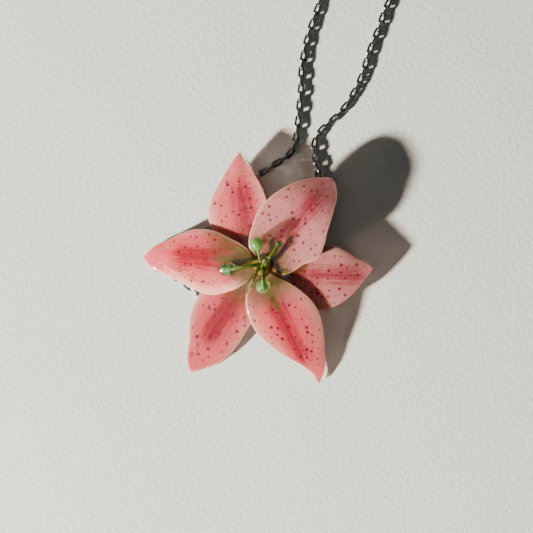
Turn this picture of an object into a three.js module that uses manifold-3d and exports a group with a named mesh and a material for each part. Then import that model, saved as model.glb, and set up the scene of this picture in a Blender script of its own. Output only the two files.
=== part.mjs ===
// A lily pendant on a fine cable chain. Six coated petals in two layers of three are bonded
// round a throat of clear resin that also holds the stamens. A glued-on bail behind the flower
// carries the chain, whose ends have a sprung lobster clasp and a plain end ring.
// Units are millimetres. +X and +Y lie in the plane of the flower and +Z is the way it faces.
// The origin is under the middle of the pendant, on the surface that it rests on.
import * as THREE from 'three';
import { mergeVertices } from 'three/addons/utils/BufferGeometryUtils.js';
import Module from 'manifold-3d';

const wasm = await Module();
wasm.setup();

// ---- driving dimensions --------------------------------------------------------------------
const BLOOM_SCALE = 1; // plan size of the petals, 1 for a bloom 50 mm across
const PETAL_THICKNESS = 1.0; // painted sheet with its resin coat
const LAYER_GAP = 0.2; // between the two layers of petals, and round the throat
const SEAM_GAP = 0.3; // between neighbouring petals of one layer
const THROAT_RADIUS = 0.9; // resin core that runs through both layers
const DOME_RADIUS = 2.3; // resin dome over the roots of the petals
const DOME_HEIGHT = 0.6;
const LEAN_SLOPE = 0.137; // the bloom leans down to its lower left as it lies
const LEAN_AZIMUTH = 50; // degrees, the way it rises
const FILAMENT_RADIUS = 0.4; // green wire in a clear resin coat
const STIGMA_RADIUS = 0.95;
const CHAIN_WIDTH = 1.5; // width of a link
const CHAIN_PLAY = 0.5; // room for the chain in the bail's bore
const BAIL_WALL = 0.4;
const BAIL_LENGTH = 3.2;
const BAIL_AZIMUTH = 40; // degrees, the way the chain runs through it
const PAD_WIDTH = 5.0; // flange of the bail that is glued to the flower
const MOUND_RADIUS = 2.4; // resin that bonds the flange to the petals
const MOUND_EDGE = 0.45; // its thickness at the rim
const MOUND_THICKNESS = 0.7; // under the middle of the bloom
const BOND_GAP = 0.05; // left where bonded pieces meet
const CORD_GAP = 0.3; // between the chain's solids and what they meet
const REST_GAP = 0.02; // under the chain where it lies
const COIL_CENTRE = [22.5, 70];
const COIL_INNER_RADIUS = 6;
const COIL_COLUMNS = 2; // turns side by side
const COIL_LAYERS = 3; // turns on each other
const END_RING_RADIUS = 1.6; // centre line of the ring that the clasp takes
const JUMP_RING_RADIUS = 1.35; // centre line of the ring on the clasp's tail
const RING_WIRE = 0.25; // radius of the wire of both rings
const CLASP_LENGTH = 10;
const CLASP_WIDTH = 5.6;
const CLASP_THICKNESS = 2.2;
const CLASP_EYE_RADIUS = 1.0; // outside of the eye at the tail
const CLASP_EYE_HOLE = 0.6;
const CLASP_EYE_THICKNESS = 0.6;
const CLASP_LIMB = 1.2; // width of the hook's limb
const LEVER_THICKNESS = 0.8;
const LEVER_CLEARANCE = 0.2;
const PIN_RADIUS = 0.35;
const PIN_CLEARANCE = 0.1;
const BLOOM_PLACE = [0.65, 0.45]; // middle of the bloom, seen from the origin

const BAIL_BORE = CHAIN_WIDTH + CHAIN_PLAY;
const BAIL_HEIGHT = BAIL_BORE + 2 * BAIL_WALL;
const MOUND_BASE = BAIL_HEIGHT + BAIL_WALL + BOND_GAP;
const MOUND_TOP = MOUND_BASE + MOUND_THICKNESS;
const BACK_Z = MOUND_TOP + BOND_GAP + PETAL_THICKNESS / 2;
const FRONT_Z = BACK_Z + PETAL_THICKNESS + LAYER_GAP;
const THROAT_TOP = FRONT_Z + PETAL_THICKNESS / 2 + LAYER_GAP;
const DOME_TOP = THROAT_TOP + DOME_HEIGHT;

// ---- finishes ------------------------------------------------------------------------------
const finish = (color, roughness, metalness = 0) =>
  new THREE.MeshStandardMaterial({ color, roughness, metalness });
const PETAL_PINK = () => finish(0xd98080, 0.15);
const CLEAR_RESIN = () => finish(0xb8b489, 0.08);
const GREEN_RESIN = () => finish(0x6d9a4c, 0.08);
const STEEL = () => finish(0x8f8f92, 0.25, 1);

const group = new THREE.Group();

/** Adds one named piece, placed at a point given from the middle of the bloom. */
function piece(name, geometry, material, x = 0, y = 0, z = 0) {
  const mesh = new THREE.Mesh(geometry, material);
  mesh.name = name;
  mesh.position.set(BLOOM_PLACE[0] + x, BLOOM_PLACE[1] + y, z);
  group.add(mesh);
  return mesh;
}

const radians = THREE.MathUtils.degToRad;

/** Height that the lean adds at a place in the bloom. */
function leanAt(x, y) {
  const along = x * Math.cos(radians(LEAN_AZIMUTH)) + y * Math.sin(radians(LEAN_AZIMUTH));
  return LEAN_SLOPE * along;
}

/** Moves every vertex of a geometry by a function that changes the vector it is given. */
function bendEach(geometry, change) {
  const positions = geometry.getAttribute('position');
  const point = new THREE.Vector3();
  for (let i = 0; i < positions.count; i += 1) {
    point.fromBufferAttribute(positions, i);
    change(point);
    positions.setXYZ(i, point.x, point.y, point.z);
  }
  geometry.computeVertexNormals();
  return geometry;
}

/** A smooth value at x through values that stand at rising stations. */
function through(stations, values, x) {
  const last = stations.length - 1;
  const at = Math.min(Math.max(x, stations[0]), stations[last]);
  let i = 0;
  while (i < last - 1 && at > stations[i + 1]) i += 1;
  const slope = (k) => {
    const a = Math.max(k - 1, 0);
    const b = Math.min(k + 1, last);
    return (values[b] - values[a]) / (stations[b] - stations[a]);
  };
  const span = stations[i + 1] - stations[i];
  const t = (at - stations[i]) / span;
  const rise = values[i + 1] - values[i];
  const a = slope(i) * span;
  const b = slope(i + 1) * span;
  return values[i] + t * (a + t * (3 * rise - 2 * a - b + t * (a + b - 2 * rise)));
}

// ---- petals --------------------------------------------------------------------------------
// A petal is a sector of the bloom whose half-angles narrow towards its tip. Left is the
// anticlockwise side. The angles are in degrees at the outline stations, which are shares of
// the petal's length; rise and edge lifts are heights over the root's level, in millimetres.
const OUTLINE_STATIONS = [0.2, 0.35, 0.5, 0.65, 0.8, 0.92, 1];
const RISE_STATIONS = [0, 0.35, 0.7, 1];
const PETALS = [
  {
    name: 'petal_front_upper_right', azimuth: 50.7, length: 23.9, level: FRONT_Z,
    left: [75, 55, 43, 30, 18, 8.5, 1], right: [76, 51, 43, 24, 13.5, 7.5, 1],
    rise: [0, 0.35, 0.4, -2.0], leftEdge: 0.1, rightEdge: 0.1, leftRoot: 77, rightRoot: 81,
  },
  {
    name: 'petal_front_left', azimuth: 175.7, length: 25.7, level: FRONT_Z,
    left: [52, 42.5, 33.5, 19, 10, 6, 0.6], right: [46, 37, 32, 24, 12.6, 6.4, 0.6],
    rise: [0, 0.1, -1.1, -3.05], leftEdge: 0.2, rightEdge: -1.2, leftRoot: 58, rightRoot: 48,
  },
  {
    name: 'petal_front_lower_right', azimuth: -64.2, length: 28.2, level: FRONT_Z,
    left: [34, 32, 28, 19.5, 11, 5.8, 0.6], right: [60, 46, 31.5, 17, 5.5, 1, 0.6],
    rise: [0, 0.1, -1.4, -3.2], leftEdge: -0.4, rightEdge: -0.2, leftRoot: 33.9, rightRoot: 62.1,
  },
  {
    name: 'petal_back_top', azimuth: 100.9, length: 25.0, level: BACK_Z,
    left: [62, 51, 45, 35, 17, 6.3, 0.6], right: [46, 30, 20, 13.7, 7.4, 3, 0.6],
    rise: [0, -0.3, -0.9, -2.5], leftEdge: -1.5, rightEdge: 0.5, leftRoot: 67.6, rightRoot: 51.2,
  },
  {
    name: 'petal_back_right', azimuth: -1.5, length: 24.3, level: BACK_Z,
    left: [46, 33, 25, 18, 8.7, 3.8, 0.6], right: [58, 51, 46, 38.5, 23, 8.5, 0.6],
    rise: [0, -0.4, -1.1, -2.75], leftEdge: -0.3, rightEdge: -0.6, leftRoot: 51.2, rightRoot: 61.2,
  },
  {
    name: 'petal_back_lower_left', azimuth: -123.9, length: 27.7, level: BACK_Z,
    left: [50, 31, 22.6, 17.7, 12, 4.8, 0.6], right: [60, 44, 34, 24, 11.7, 6, 0.6],
    rise: [0, -0.5, -0.4, -0.15], leftEdge: -0.3, rightEdge: 0, leftRoot: 61.2, rightRoot: 67.6,
  },
];
const PETAL_STEPS = 18;
const PETAL_COLUMNS = 8;
const ROOT_RADIUS = THROAT_RADIUS + LAYER_GAP;

/** Half-angle of one side of a petal, in radians, at a radius from the middle of the bloom. */
function halfAngle(outline, root, share, radius) {
  const open = share < OUTLINE_STATIONS[0]
    ? THREE.MathUtils.lerp(root, outline[0], share / OUTLINE_STATIONS[0])
    : through(OUTLINE_STATIONS, outline, share);
  const seam = root - THREE.MathUtils.radToDeg(SEAM_GAP / 2 / radius);
  return radians(Math.min(open, seam));
}

/** Height of a petal's middle surface, side running from -1 at the right edge to 1. */
function petalHeight(petal, share, side) {
  const edge = side > 0 ? petal.leftEdge : petal.rightEdge;
  const swell = THREE.MathUtils.smoothstep(share, 0.2, 0.6)
    * (1 - THREE.MathUtils.smoothstep(share, 0.8, 1));
  return petal.level + through(RISE_STATIONS, petal.rise, share) + edge * swell * side * side;
}

/** One coated petal: a block whose grid is laid along the petal's own sector. */
function petalGeometry(petal) {
  const length = petal.length * BLOOM_SCALE;
  const block = new THREE.BoxGeometry(1, 2, 1, PETAL_STEPS, PETAL_COLUMNS, 1);
  return bendEach(block, (p) => {
    const radius = THREE.MathUtils.lerp(ROOT_RADIUS, length, p.x + 0.5);
    const share = radius / length;
    const outline = p.y > 0 ? petal.left : petal.right;
    const root = p.y > 0 ? petal.leftRoot : petal.rightRoot;
    const angle = radians(petal.azimuth) + p.y * halfAngle(outline, root, share, radius);
    const height = petalHeight(petal, share, p.y) + PETAL_THICKNESS * p.z;
    p.set(radius * Math.cos(angle), radius * Math.sin(angle), height);
    p.z += leanAt(p.x, p.y);
  });
}

for (const petal of PETALS) piece(petal.name, petalGeometry(petal), PETAL_PINK());

// ---- throat, stamens and pistil ------------------------------------------------------------
/** A closed solid of revolution round Z, from (radius, height) corners. */
function turned(corners, segments = 24) {
  const profile = corners.map(([radius, height]) => new THREE.Vector2(radius, height));
  return new THREE.LatheGeometry(profile, segments).rotateX(Math.PI / 2);
}

/** Leans a geometry that stands round the middle of the bloom, above a level. */
const leaned = (geometry, above = 0) =>
  bendEach(geometry, (p) => { if (p.z > above) p.z += leanAt(p.x, p.y); });

piece('throat_resin', leaned(turned([
  [0, MOUND_TOP + BOND_GAP],
  [THROAT_RADIUS, MOUND_TOP + BOND_GAP],
  [THROAT_RADIUS, THROAT_TOP],
  [DOME_RADIUS, THROAT_TOP],
  [DOME_RADIUS * 0.85, THROAT_TOP + DOME_HEIGHT * 0.6],
  [DOME_RADIUS * 0.5, THROAT_TOP + DOME_HEIGHT * 0.9],
  [0, DOME_TOP],
])), CLEAR_RESIN());

/** A round bar along a smooth route of points. */
function bar(points, radius, steps, sides = 8) {
  const section = new THREE.Shape();
  for (let i = 0; i < sides; i += 1) {
    const angle = (i * 2 * Math.PI) / sides;
    const corner = [radius * Math.cos(angle), radius * Math.sin(angle)];
    if (i === 0) section.moveTo(...corner);
    else section.lineTo(...corner);
  }
  section.closePath();
  const route = new THREE.CatmullRomCurve3(points.map((p) => new THREE.Vector3(...p)));
  return new THREE.ExtrudeGeometry(section, { steps, extrudePath: route, bevelEnabled: false });
}

// A stamen is a filament that leaves the throat at a place in the bloom and an anther of resin
// over another. half is half of the straight part of the anther, aim the way its axis points,
// height its middle over the top of the dome and bow how high the filament arches.
const STAMENS = [
  { name: 'top', from: [-0.3, 1.1], at: [-1.1, 4.6], radius: 1.35, half: 1.0, aim: [0, 0.1, 1],
    height: 2.3, bow: 0.1 },
  { name: 'left', from: [-1.15, 0.2], at: [-7.4, -0.7], radius: 1.45, half: 0.45,
    aim: [-1, 0.05, -0.1], height: 1.0, bow: 0.8 },
  { name: 'bottom', from: [0.2, -1.05], at: [0.3, -4.4], radius: 1.5, half: 0, aim: [0, 0, 1],
    height: 1.3, bow: 0.3 },
  { name: 'upper_right', from: [0.95, 0.6], at: [3.65, 4.7], radius: 0.75, half: 0,
    aim: [0, 0, 1], height: 0.9, bow: 0.4 },
  { name: 'lower_left', from: [-1.0, -0.95], at: [-2.8, -4.9], radius: 0.65, half: 0.4,
    aim: [-0.2, -1, 0], height: 0.3, bow: 0.3 },
];
const ANTHER_GAP = 0.1;
const FILAMENT_START = DOME_TOP + FILAMENT_RADIUS + LAYER_GAP;

for (const stamen of STAMENS) {
  const [x, y] = stamen.at;
  const [startX, startY] = stamen.from;
  const centre = new THREE.Vector3(x, y, DOME_TOP + stamen.height + leanAt(x, y));
  const start = new THREE.Vector3(startX, startY, FILAMENT_START + leanAt(startX, startY));
  const aim = new THREE.Vector3(...stamen.aim).normalize();
  const anther = new THREE.CapsuleGeometry(stamen.radius, 2 * stamen.half, 5, 14);
  anther.applyQuaternion(new THREE.Quaternion().setFromUnitVectors(new THREE.Vector3(0, 1, 0), aim));
  piece(`anther_${stamen.name}`, anther, GREEN_RESIN(), centre.x, centre.y, centre.z);

  const middle = start.clone().lerp(centre, 0.5);
  middle.z = Math.max(start.z, middle.z - stamen.radius / 2) + stamen.bow;
  const facing = Math.sign(aim.dot(centre.clone().sub(start)));
  const root = centre.clone().addScaledVector(aim, -stamen.half * facing);
  const reach = stamen.radius + ANTHER_GAP;
  const end = root.clone().add(middle.clone().sub(root).setLength(reach));
  const route = [start, middle, end].map((p) => p.toArray());
  piece(`filament_${stamen.name}`, bar(route, FILAMENT_RADIUS, 8), GREEN_RESIN());
}

const STYLE_ROUTE = [
  [0, 0, DOME_TOP + 4 * BOND_GAP],
  [0.1, 0.2, DOME_TOP + 1.0],
  [0.5, 1.1, DOME_TOP + 2.2],
];
piece('style', bar(STYLE_ROUTE, FILAMENT_RADIUS * 0.9, 6), GREEN_RESIN());

const stigmaOutline = new THREE.Shape();
for (let i = 0; i < 24; i += 1) {
  const angle = (i * Math.PI) / 12;
  const radius = STIGMA_RADIUS * (0.85 + 0.15 * Math.cos(3 * angle));
  const corner = [radius * Math.cos(angle), radius * Math.sin(angle)];
  if (i === 0) stigmaOutline.moveTo(...corner);
  else stigmaOutline.lineTo(...corner);
}
const stigma = new THREE.ExtrudeGeometry(stigmaOutline, {
  depth: 0.5, steps: 1, bevelThickness: 0.15, bevelSize: 0.15, bevelOffset: -0.15, bevelSegments: 1,
});
piece('stigma', stigma, CLEAR_RESIN(), 0.65, 1.5, DOME_TOP + 2.6);

// ---- bail and the resin that holds it ------------------------------------------------------
const bailOutline = new THREE.Shape();
const bailHalf = BAIL_HEIGHT / 2;
bailOutline.moveTo(-bailHalf, 0);
bailOutline.lineTo(bailHalf, 0);
bailOutline.lineTo(bailHalf, BAIL_HEIGHT);
bailOutline.lineTo(PAD_WIDTH / 2, BAIL_HEIGHT);
bailOutline.lineTo(PAD_WIDTH / 2, BAIL_HEIGHT + BAIL_WALL);
bailOutline.lineTo(-PAD_WIDTH / 2, BAIL_HEIGHT + BAIL_WALL);
bailOutline.lineTo(-PAD_WIDTH / 2, BAIL_HEIGHT);
bailOutline.lineTo(-bailHalf, BAIL_HEIGHT);
bailOutline.closePath();
const boreMiddle = BAIL_WALL + BAIL_BORE / 2;
bailOutline.holes.push(new THREE.Path().absarc(0, boreMiddle, BAIL_BORE / 2, 0, 2 * Math.PI, true));
const bail = new THREE.ExtrudeGeometry(bailOutline, {
  depth: BAIL_LENGTH, bevelEnabled: false, curveSegments: 16,
});
bail.translate(0, 0, -BAIL_LENGTH / 2).rotateX(Math.PI / 2).rotateZ(radians(BAIL_AZIMUTH - 90));
piece('bail', bail, STEEL());

piece('back_resin', leaned(turned([
  [0, MOUND_BASE],
  [MOUND_RADIUS, MOUND_BASE],
  [MOUND_RADIUS, MOUND_BASE + MOUND_EDGE],
  [THROAT_RADIUS, MOUND_TOP],
  [0, MOUND_TOP],
]), MOUND_BASE + MOUND_EDGE / 2), CLEAR_RESIN());

// ---- chain ---------------------------------------------------------------------------------
// Each route is seen from the middle of the bloom. It lies on the surface except in the bail.
const LYING = CHAIN_WIDTH / 2 + REST_GAP;
const LANDING = LYING + 0.1; // where it comes down from the bail
const LEFT_ROUTE = [
  [-1.6, -1.34, boreMiddle], [-4.2, -3.3, 1.05], [-7.2, -5.3, LANDING], [-10.1, -6.4, LYING],
  [-12.6, -6.3, LYING], [-14.7, -5.2, LYING], [-16.5, -4.0, LYING], [-18.2, -2.8, LYING],
  [-19.56, -1.23, LYING], [-19.95, 0.8, LYING], [-19.28, 2.76, LYING], [-17.71, 4.11, LYING],
  [-15.7, 5.1, LYING], [-13.1, 6.7, LYING], [-9.6, 10.0, LYING], [-6.6, 13.9, LYING],
  [-3.9, 17.2, LYING], [-0.5, 19.8, LYING], [3.4, 22.4, LYING],
  [6.4, 24.9, LYING], [7.5, 28.8, LYING], [7.9, 33.0, LYING], [8.4, 38.0, LYING],
  [8.6, 43.0, LYING], [9.6, 48.4, LYING], [11.0, 52.9, LYING], [12.4, 57.0, LYING],
  [13.1, 60.6, LYING], [12.5, 66.0, LYING],
];
const RIGHT_ROUTE = [
  [1.6, 1.34, boreMiddle], [4.2, 4.0, 1.05], [6.9, 7.6, LANDING], [9.4, 11.9, LYING],
  [11.4, 16.2, LYING], [12.2, 20.2, LYING], [11.5, 23.8, LYING], [11.4, 26.6, LYING],
  [12.6, 29.1, LYING], [14.8, 31.2, LYING], [17.3, 33.6, LYING], [19.6, 37.0, LYING],
  [21.6, 41.1, LYING], [23.2, 46.2, LYING], [25.2, 51.3, LYING], [27.4, 57.0, LYING],
  [30.4, 61.0, LYING], [33.3, 65.4, LYING], [34.7, 70.0, LYING], [35.0, 74.0, LYING],
];
const CLASP_ROUTE = [
  [24.2, 80.5, LYING], [27.0, 81.0, LYING], [29.6, 81.6, LYING],
];
const CHAIN_STEP = 3;

/** Adds a stretch of chain as a plain bar, cut back from its ends by half the cord gap. */
function chainRun(name, route) {
  const points = route.map((p) => new THREE.Vector3(...p));
  const length = new THREE.CatmullRomCurve3(points).getLength();
  const steps = Math.round(length / CHAIN_STEP);
  piece(name, bar(route, CHAIN_WIDTH / 2, steps), STEEL());
}

const boreEntry = (side) => [
  side * CORD_GAP / 2 * Math.cos(radians(BAIL_AZIMUTH)),
  side * CORD_GAP / 2 * Math.sin(radians(BAIL_AZIMUTH)),
  boreMiddle,
];
chainRun('chain_run_left', [boreEntry(-1), ...LEFT_ROUTE]);
chainRun('chain_run_right', [boreEntry(1), ...RIGHT_ROUTE]);
chainRun('chain_run_clasp', CLASP_ROUTE);

const coilOuter = COIL_INNER_RADIUS + COIL_COLUMNS * CHAIN_WIDTH;
const coilHeight = COIL_LAYERS * CHAIN_WIDTH;
piece('chain_coil', turned([
  [COIL_INNER_RADIUS, 0],
  [coilOuter, 0],
  [coilOuter, coilHeight],
  [COIL_INNER_RADIUS, coilHeight],
  [COIL_INNER_RADIUS, 0],
], 32), STEEL(), ...COIL_CENTRE, 0);

// ---- clasp ---------------------------------------------------------------------------------
/** A geometry as a solid for cutting and joining. */
function solid(geometry) {
  const bare = geometry.index ? geometry.toNonIndexed() : geometry.clone();
  bare.deleteAttribute('normal');
  bare.deleteAttribute('uv');
  const merged = mergeVertices(bare, 1e-4);
  return new wasm.Manifold(new wasm.Mesh({
    numProp: 3,
    vertProperties: merged.getAttribute('position').array,
    triVerts: new Uint32Array(merged.index.array),
  }));
}

/** A cut or joined solid as a geometry again. */
function geometryOf(shape) {
  const { vertProperties, triVerts } = shape.getMesh();
  const geometry = new THREE.BufferGeometry();
  geometry.setAttribute('position', new THREE.BufferAttribute(new Float32Array(vertProperties), 3));
  geometry.setIndex(new THREE.BufferAttribute(new Uint32Array(triVerts), 1));
  geometry.computeVertexNormals();
  return geometry;
}

/** A plate with an elliptic or round outline, its middle at a height. */
function plate(x, y, radiusX, radiusY, thickness, middle, segments = 32) {
  const outline = new THREE.Shape().absellipse(x, y, radiusX, radiusY, 0, 2 * Math.PI);
  const geometry = new THREE.ExtrudeGeometry(outline, {
    depth: thickness, bevelEnabled: false, curveSegments: segments,
  });
  return solid(geometry.translate(0, 0, middle - thickness / 2));
}

/** A box between two corners. */
function block(low, high) {
  const size = low.map((value, i) => high[i] - value);
  const geometry = new THREE.BoxGeometry(...size);
  return solid(geometry.translate(...low.map((value, i) => (value + high[i]) / 2)));
}

const claspMiddle = CLASP_THICKNESS / 2;
const hookRadiusX = (CLASP_LENGTH - 2 * CLASP_EYE_RADIUS + CLASP_EYE_HOLE) / 2;
const hookX = CLASP_LENGTH - hookRadiusX;
const hookRadiusY = CLASP_WIDTH / 2;
const openingRadiusX = hookRadiusX * 0.57;
const openingX = CLASP_LENGTH - CLASP_LIMB - openingRadiusX;
const openingRadiusY = hookRadiusY - CLASP_LIMB;
const eyeMiddle = JUMP_RING_RADIUS + RING_WIRE - CLASP_EYE_THICKNESS / 6;
const gateStart = openingX - openingRadiusX * 0.75;
const gateEnd = openingX + openingRadiusX * 0.8;
const PIVOT = [gateStart - 1.0, -hookRadiusY * 0.46];
const slotThickness = LEVER_THICKNESS + 2 * LEVER_CLEARANCE;
const heelRadius = PIN_RADIUS + PIN_CLEARANCE + 0.4;

const opening = plate(openingX, 0, openingRadiusX, openingRadiusY, 3 * CLASP_THICKNESS, claspMiddle);
const hook = plate(hookX, 0, hookRadiusX, hookRadiusY, CLASP_THICKNESS, claspMiddle);
const eye = plate(CLASP_EYE_RADIUS, 0, CLASP_EYE_RADIUS, CLASP_EYE_RADIUS,
  CLASP_EYE_THICKNESS, eyeMiddle, 20);
const eyeHole = plate(CLASP_EYE_RADIUS, 0, CLASP_EYE_HOLE, CLASP_EYE_HOLE,
  3 * CLASP_THICKNESS, claspMiddle, 16);
const gate = block([gateStart, -CLASP_WIDTH, -1], [gateEnd, 0, CLASP_THICKNESS + 1]);
const slot = block(
  [PIVOT[0] - heelRadius - LEVER_CLEARANCE, -CLASP_WIDTH, claspMiddle - slotThickness / 2],
  [gateStart + 0.1, PIVOT[1] + heelRadius + LEVER_CLEARANCE, claspMiddle + slotThickness / 2],
);
const pinHole = plate(...PIVOT, PIN_RADIUS + PIN_CLEARANCE, PIN_RADIUS + PIN_CLEARANCE,
  3 * CLASP_THICKNESS, claspMiddle, 12);
const claspBody = hook.add(eye).subtract(eyeHole).subtract(opening).subtract(gate)
  .subtract(slot).subtract(pinHole);

const leverSpan = block(
  [PIVOT[0], -CLASP_WIDTH, claspMiddle - LEVER_THICKNESS / 2],
  [gateEnd - LEVER_CLEARANCE, PIVOT[1] + heelRadius, claspMiddle + LEVER_THICKNESS / 2],
);
const heel = plate(...PIVOT, heelRadius, heelRadius, LEVER_THICKNESS, claspMiddle, 16);
const thumb = plate(gateStart + 0.9, -hookRadiusY, 0.7, 0.7, LEVER_THICKNESS, claspMiddle, 12);
const lever = hook.subtract(opening).intersect(leverSpan).add(heel).add(thumb).subtract(pinHole);

const pin = new THREE.CylinderGeometry(PIN_RADIUS, PIN_RADIUS, CLASP_THICKNESS, 12);
pin.rotateX(Math.PI / 2).translate(...PIVOT, claspMiddle);

const CLASP_AZIMUTH = 12; // degrees
const JUMP_PLACE = new THREE.Vector3(
  CLASP_ROUTE[2][0] + CORD_GAP + JUMP_RING_RADIUS + RING_WIRE, CLASP_ROUTE[2][1] + 0.4, 0);
const claspTail = new THREE.Vector3(JUMP_RING_RADIUS - CLASP_EYE_RADIUS, 0, 0)
  .applyAxisAngle(new THREE.Vector3(0, 0, 1), radians(CLASP_AZIMUTH)).add(JUMP_PLACE);
for (const [name, geometry] of [
  ['clasp_body', geometryOf(claspBody)], ['clasp_lever', geometryOf(lever)], ['clasp_pin', pin],
]) piece(name, geometry, STEEL(), ...claspTail).rotation.z = radians(CLASP_AZIMUTH);

const jumpRing = new THREE.TorusGeometry(JUMP_RING_RADIUS, RING_WIRE, 8, 20);
jumpRing.rotateX(Math.PI / 2).rotateZ(radians(CLASP_AZIMUTH));
piece('clasp_ring', jumpRing, STEEL(), JUMP_PLACE.x, JUMP_PLACE.y, JUMP_RING_RADIUS + RING_WIRE);

const lastRight = RIGHT_ROUTE[RIGHT_ROUTE.length - 1];
piece('end_ring', new THREE.TorusGeometry(END_RING_RADIUS, RING_WIRE, 8, 20), STEEL(),
  lastRight[0], lastRight[1] + CORD_GAP + END_RING_RADIUS + RING_WIRE, RING_WIRE);

export default group;
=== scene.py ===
"""A lily pendant necklace: coated petals, resin stamens, a glued bail, a cable chain and a clasp.

Sizes in the classes are millimetres, seen from the middle of the bloom. The frame and
everything that is put into the scene are in metres.
"""

import logging
import math
from collections.abc import Callable, Sequence
from dataclasses import dataclass, field
from enum import Enum

import bmesh
import bpy
from mathutils import Matrix, Vector, noise


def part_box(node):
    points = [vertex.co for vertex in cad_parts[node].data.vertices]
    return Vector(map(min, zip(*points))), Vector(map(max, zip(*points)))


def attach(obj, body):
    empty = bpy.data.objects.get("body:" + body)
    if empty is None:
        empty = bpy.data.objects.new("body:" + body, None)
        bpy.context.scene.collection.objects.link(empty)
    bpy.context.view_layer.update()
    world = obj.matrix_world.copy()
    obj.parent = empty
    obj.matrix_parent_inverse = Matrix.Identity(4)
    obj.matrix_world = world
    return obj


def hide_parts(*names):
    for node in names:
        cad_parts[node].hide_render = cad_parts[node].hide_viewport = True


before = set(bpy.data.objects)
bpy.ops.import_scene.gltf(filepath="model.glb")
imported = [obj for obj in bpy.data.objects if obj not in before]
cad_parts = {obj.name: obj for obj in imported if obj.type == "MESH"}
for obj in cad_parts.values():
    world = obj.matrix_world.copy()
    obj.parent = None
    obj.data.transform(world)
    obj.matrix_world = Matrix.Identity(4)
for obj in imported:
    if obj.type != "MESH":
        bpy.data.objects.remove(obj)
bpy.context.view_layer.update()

log = logging.getLogger("lily")

MM = 0.001
NECKLACE = "necklace"
LEVER = "lever"
MERGE_DISTANCE = 2e-6
FULL_TURN = 2 * math.pi

Colour = tuple[float, float, float, float]
Point = tuple[float, float, float]


class Slot(Enum):
    """The names of the finishes."""

    PETAL = "coated_petal"
    CLEAR = "clear_resin"
    GREEN = "green_resin"
    BAIL = "bail_steel"
    CHAIN = "chain_steel"
    CLASP = "clasp_steel"


class Resin(Enum):
    """How clear the resin of an anther is."""

    MILKY = "milky"
    GREEN = "green"
    CLEAR = "clear"


class Layer(Enum):
    """The two layers of petals, by the height of a petal's middle at the throat."""

    BACK = 4.5
    FRONT = 5.7


# ---- small helpers ---------------------------------------------------------------------------


def rgb(red: int, green: int, blue: int) -> Colour:
    """Turn a display colour into the scene's linear one.

    Args:
        red: 0 to 255.
        green: 0 to 255.
        blue: 0 to 255.

    Returns:
        The linear colour, opaque.
    """
    parts = [((c / 255 + 0.055) / 1.055) ** 2.4 if c > 10 else c / 255 / 12.92
             for c in (red, green, blue)]
    return parts[0], parts[1], parts[2], 1.0


def smoothstep(low: float, high: float, x: float) -> float:
    """Ease from 0 at low to 1 at high.

    Args:
        low: Where the value leaves 0.
        high: Where it reaches 1.
        x: Where it is asked for.

    Returns:
        The eased value.
    """
    t = min(max((x - low) / (high - low), 0.0), 1.0)
    return t * t * (3 - 2 * t)


def through(stations: Sequence[float], values: Sequence[float], x: float) -> float:
    """Give a smooth value through values that stand at rising stations.

    Args:
        stations: Rising places.
        values: The value at each of them.
        x: Where a value is asked for.

    Returns:
        The height at x of a cubic curve through the stations.
    """
    last = len(stations) - 1
    at = min(max(x, stations[0]), stations[last])
    i = 0
    while i < last - 1 and at > stations[i + 1]:
        i += 1

    def slope(k: int) -> float:
        """Slope at a station, from its two neighbours."""
        a, b = max(k - 1, 0), min(k + 1, last)
        return (values[b] - values[a]) / (stations[b] - stations[a])

    span = stations[i + 1] - stations[i]
    t = (at - stations[i]) / span
    rise = values[i + 1] - values[i]
    a, b = slope(i) * span, slope(i + 1) * span
    return values[i] + t * (a + t * (3 * rise - 2 * a - b + t * (a + b - 2 * rise)))


def catmull_rom(points: Sequence[Sequence[float]], step: float) -> list[Vector]:
    """Sample a smooth curve through points.

    Args:
        points: The points of the route.
        step: About how far apart the samples are.

    Returns:
        The samples, the first and the last point among them.
    """
    pts = [Vector(p) for p in points]
    pts = [2 * pts[0] - pts[1], *pts, 2 * pts[-1] - pts[-2]]
    samples: list[Vector] = []
    for p0, p1, p2, p3 in zip(pts, pts[1:], pts[2:], pts[3:]):
        t1 = math.sqrt((p1 - p0).length)
        t2 = t1 + math.sqrt((p2 - p1).length)
        t3 = t2 + math.sqrt((p3 - p2).length)
        count = max(1, round((p2 - p1).length / step))
        for k in range(count):
            t = t1 + (t2 - t1) * k / count
            a1 = p0.lerp(p1, t / t1)
            a2 = p1.lerp(p2, (t - t1) / (t2 - t1))
            a3 = p2.lerp(p3, (t - t2) / (t3 - t2))
            b1 = a1.lerp(a2, t / t2)
            b2 = a2.lerp(a3, (t - t1) / (t3 - t1))
            samples.append(b1.lerp(b2, (t - t1) / (t2 - t1)))
    samples.append(pts[-2].copy())
    return samples


def route_length(points: Sequence[Vector]) -> float:
    """Length of a route through points."""
    return sum((b - a).length for a, b in zip(points, points[1:]))


def angles(count: int) -> list[float]:
    """Angles of even places round a circle."""
    return [FULL_TURN * j / count for j in range(count)]


def ripple(place: Vector, scale: float, seed: float) -> float:
    """Give a smooth unevenness between about -1 and 1.

    Args:
        place: Where it is asked for, in millimetres.
        scale: The size of its waves, in millimetres.
        seed: Which unevenness it is.

    Returns:
        The unevenness at that place.
    """
    return noise.noise(place / scale + Vector((seed, -seed, 0.5 * seed)))


def ring_faces(rings: int, around: int) -> list[list[int]]:
    """Faces between rings of points that each close on themselves.

    Args:
        rings: How many rings there are.
        around: How many points each ring has.

    Returns:
        The faces, as indices of points.
    """
    faces = []
    for low in range(0, (rings - 1) * around, around):
        for j in range(around):
            k = (j + 1) % around
            faces.append([low + j, low + k, low + around + k, low + around + j])
    return faces


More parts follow.
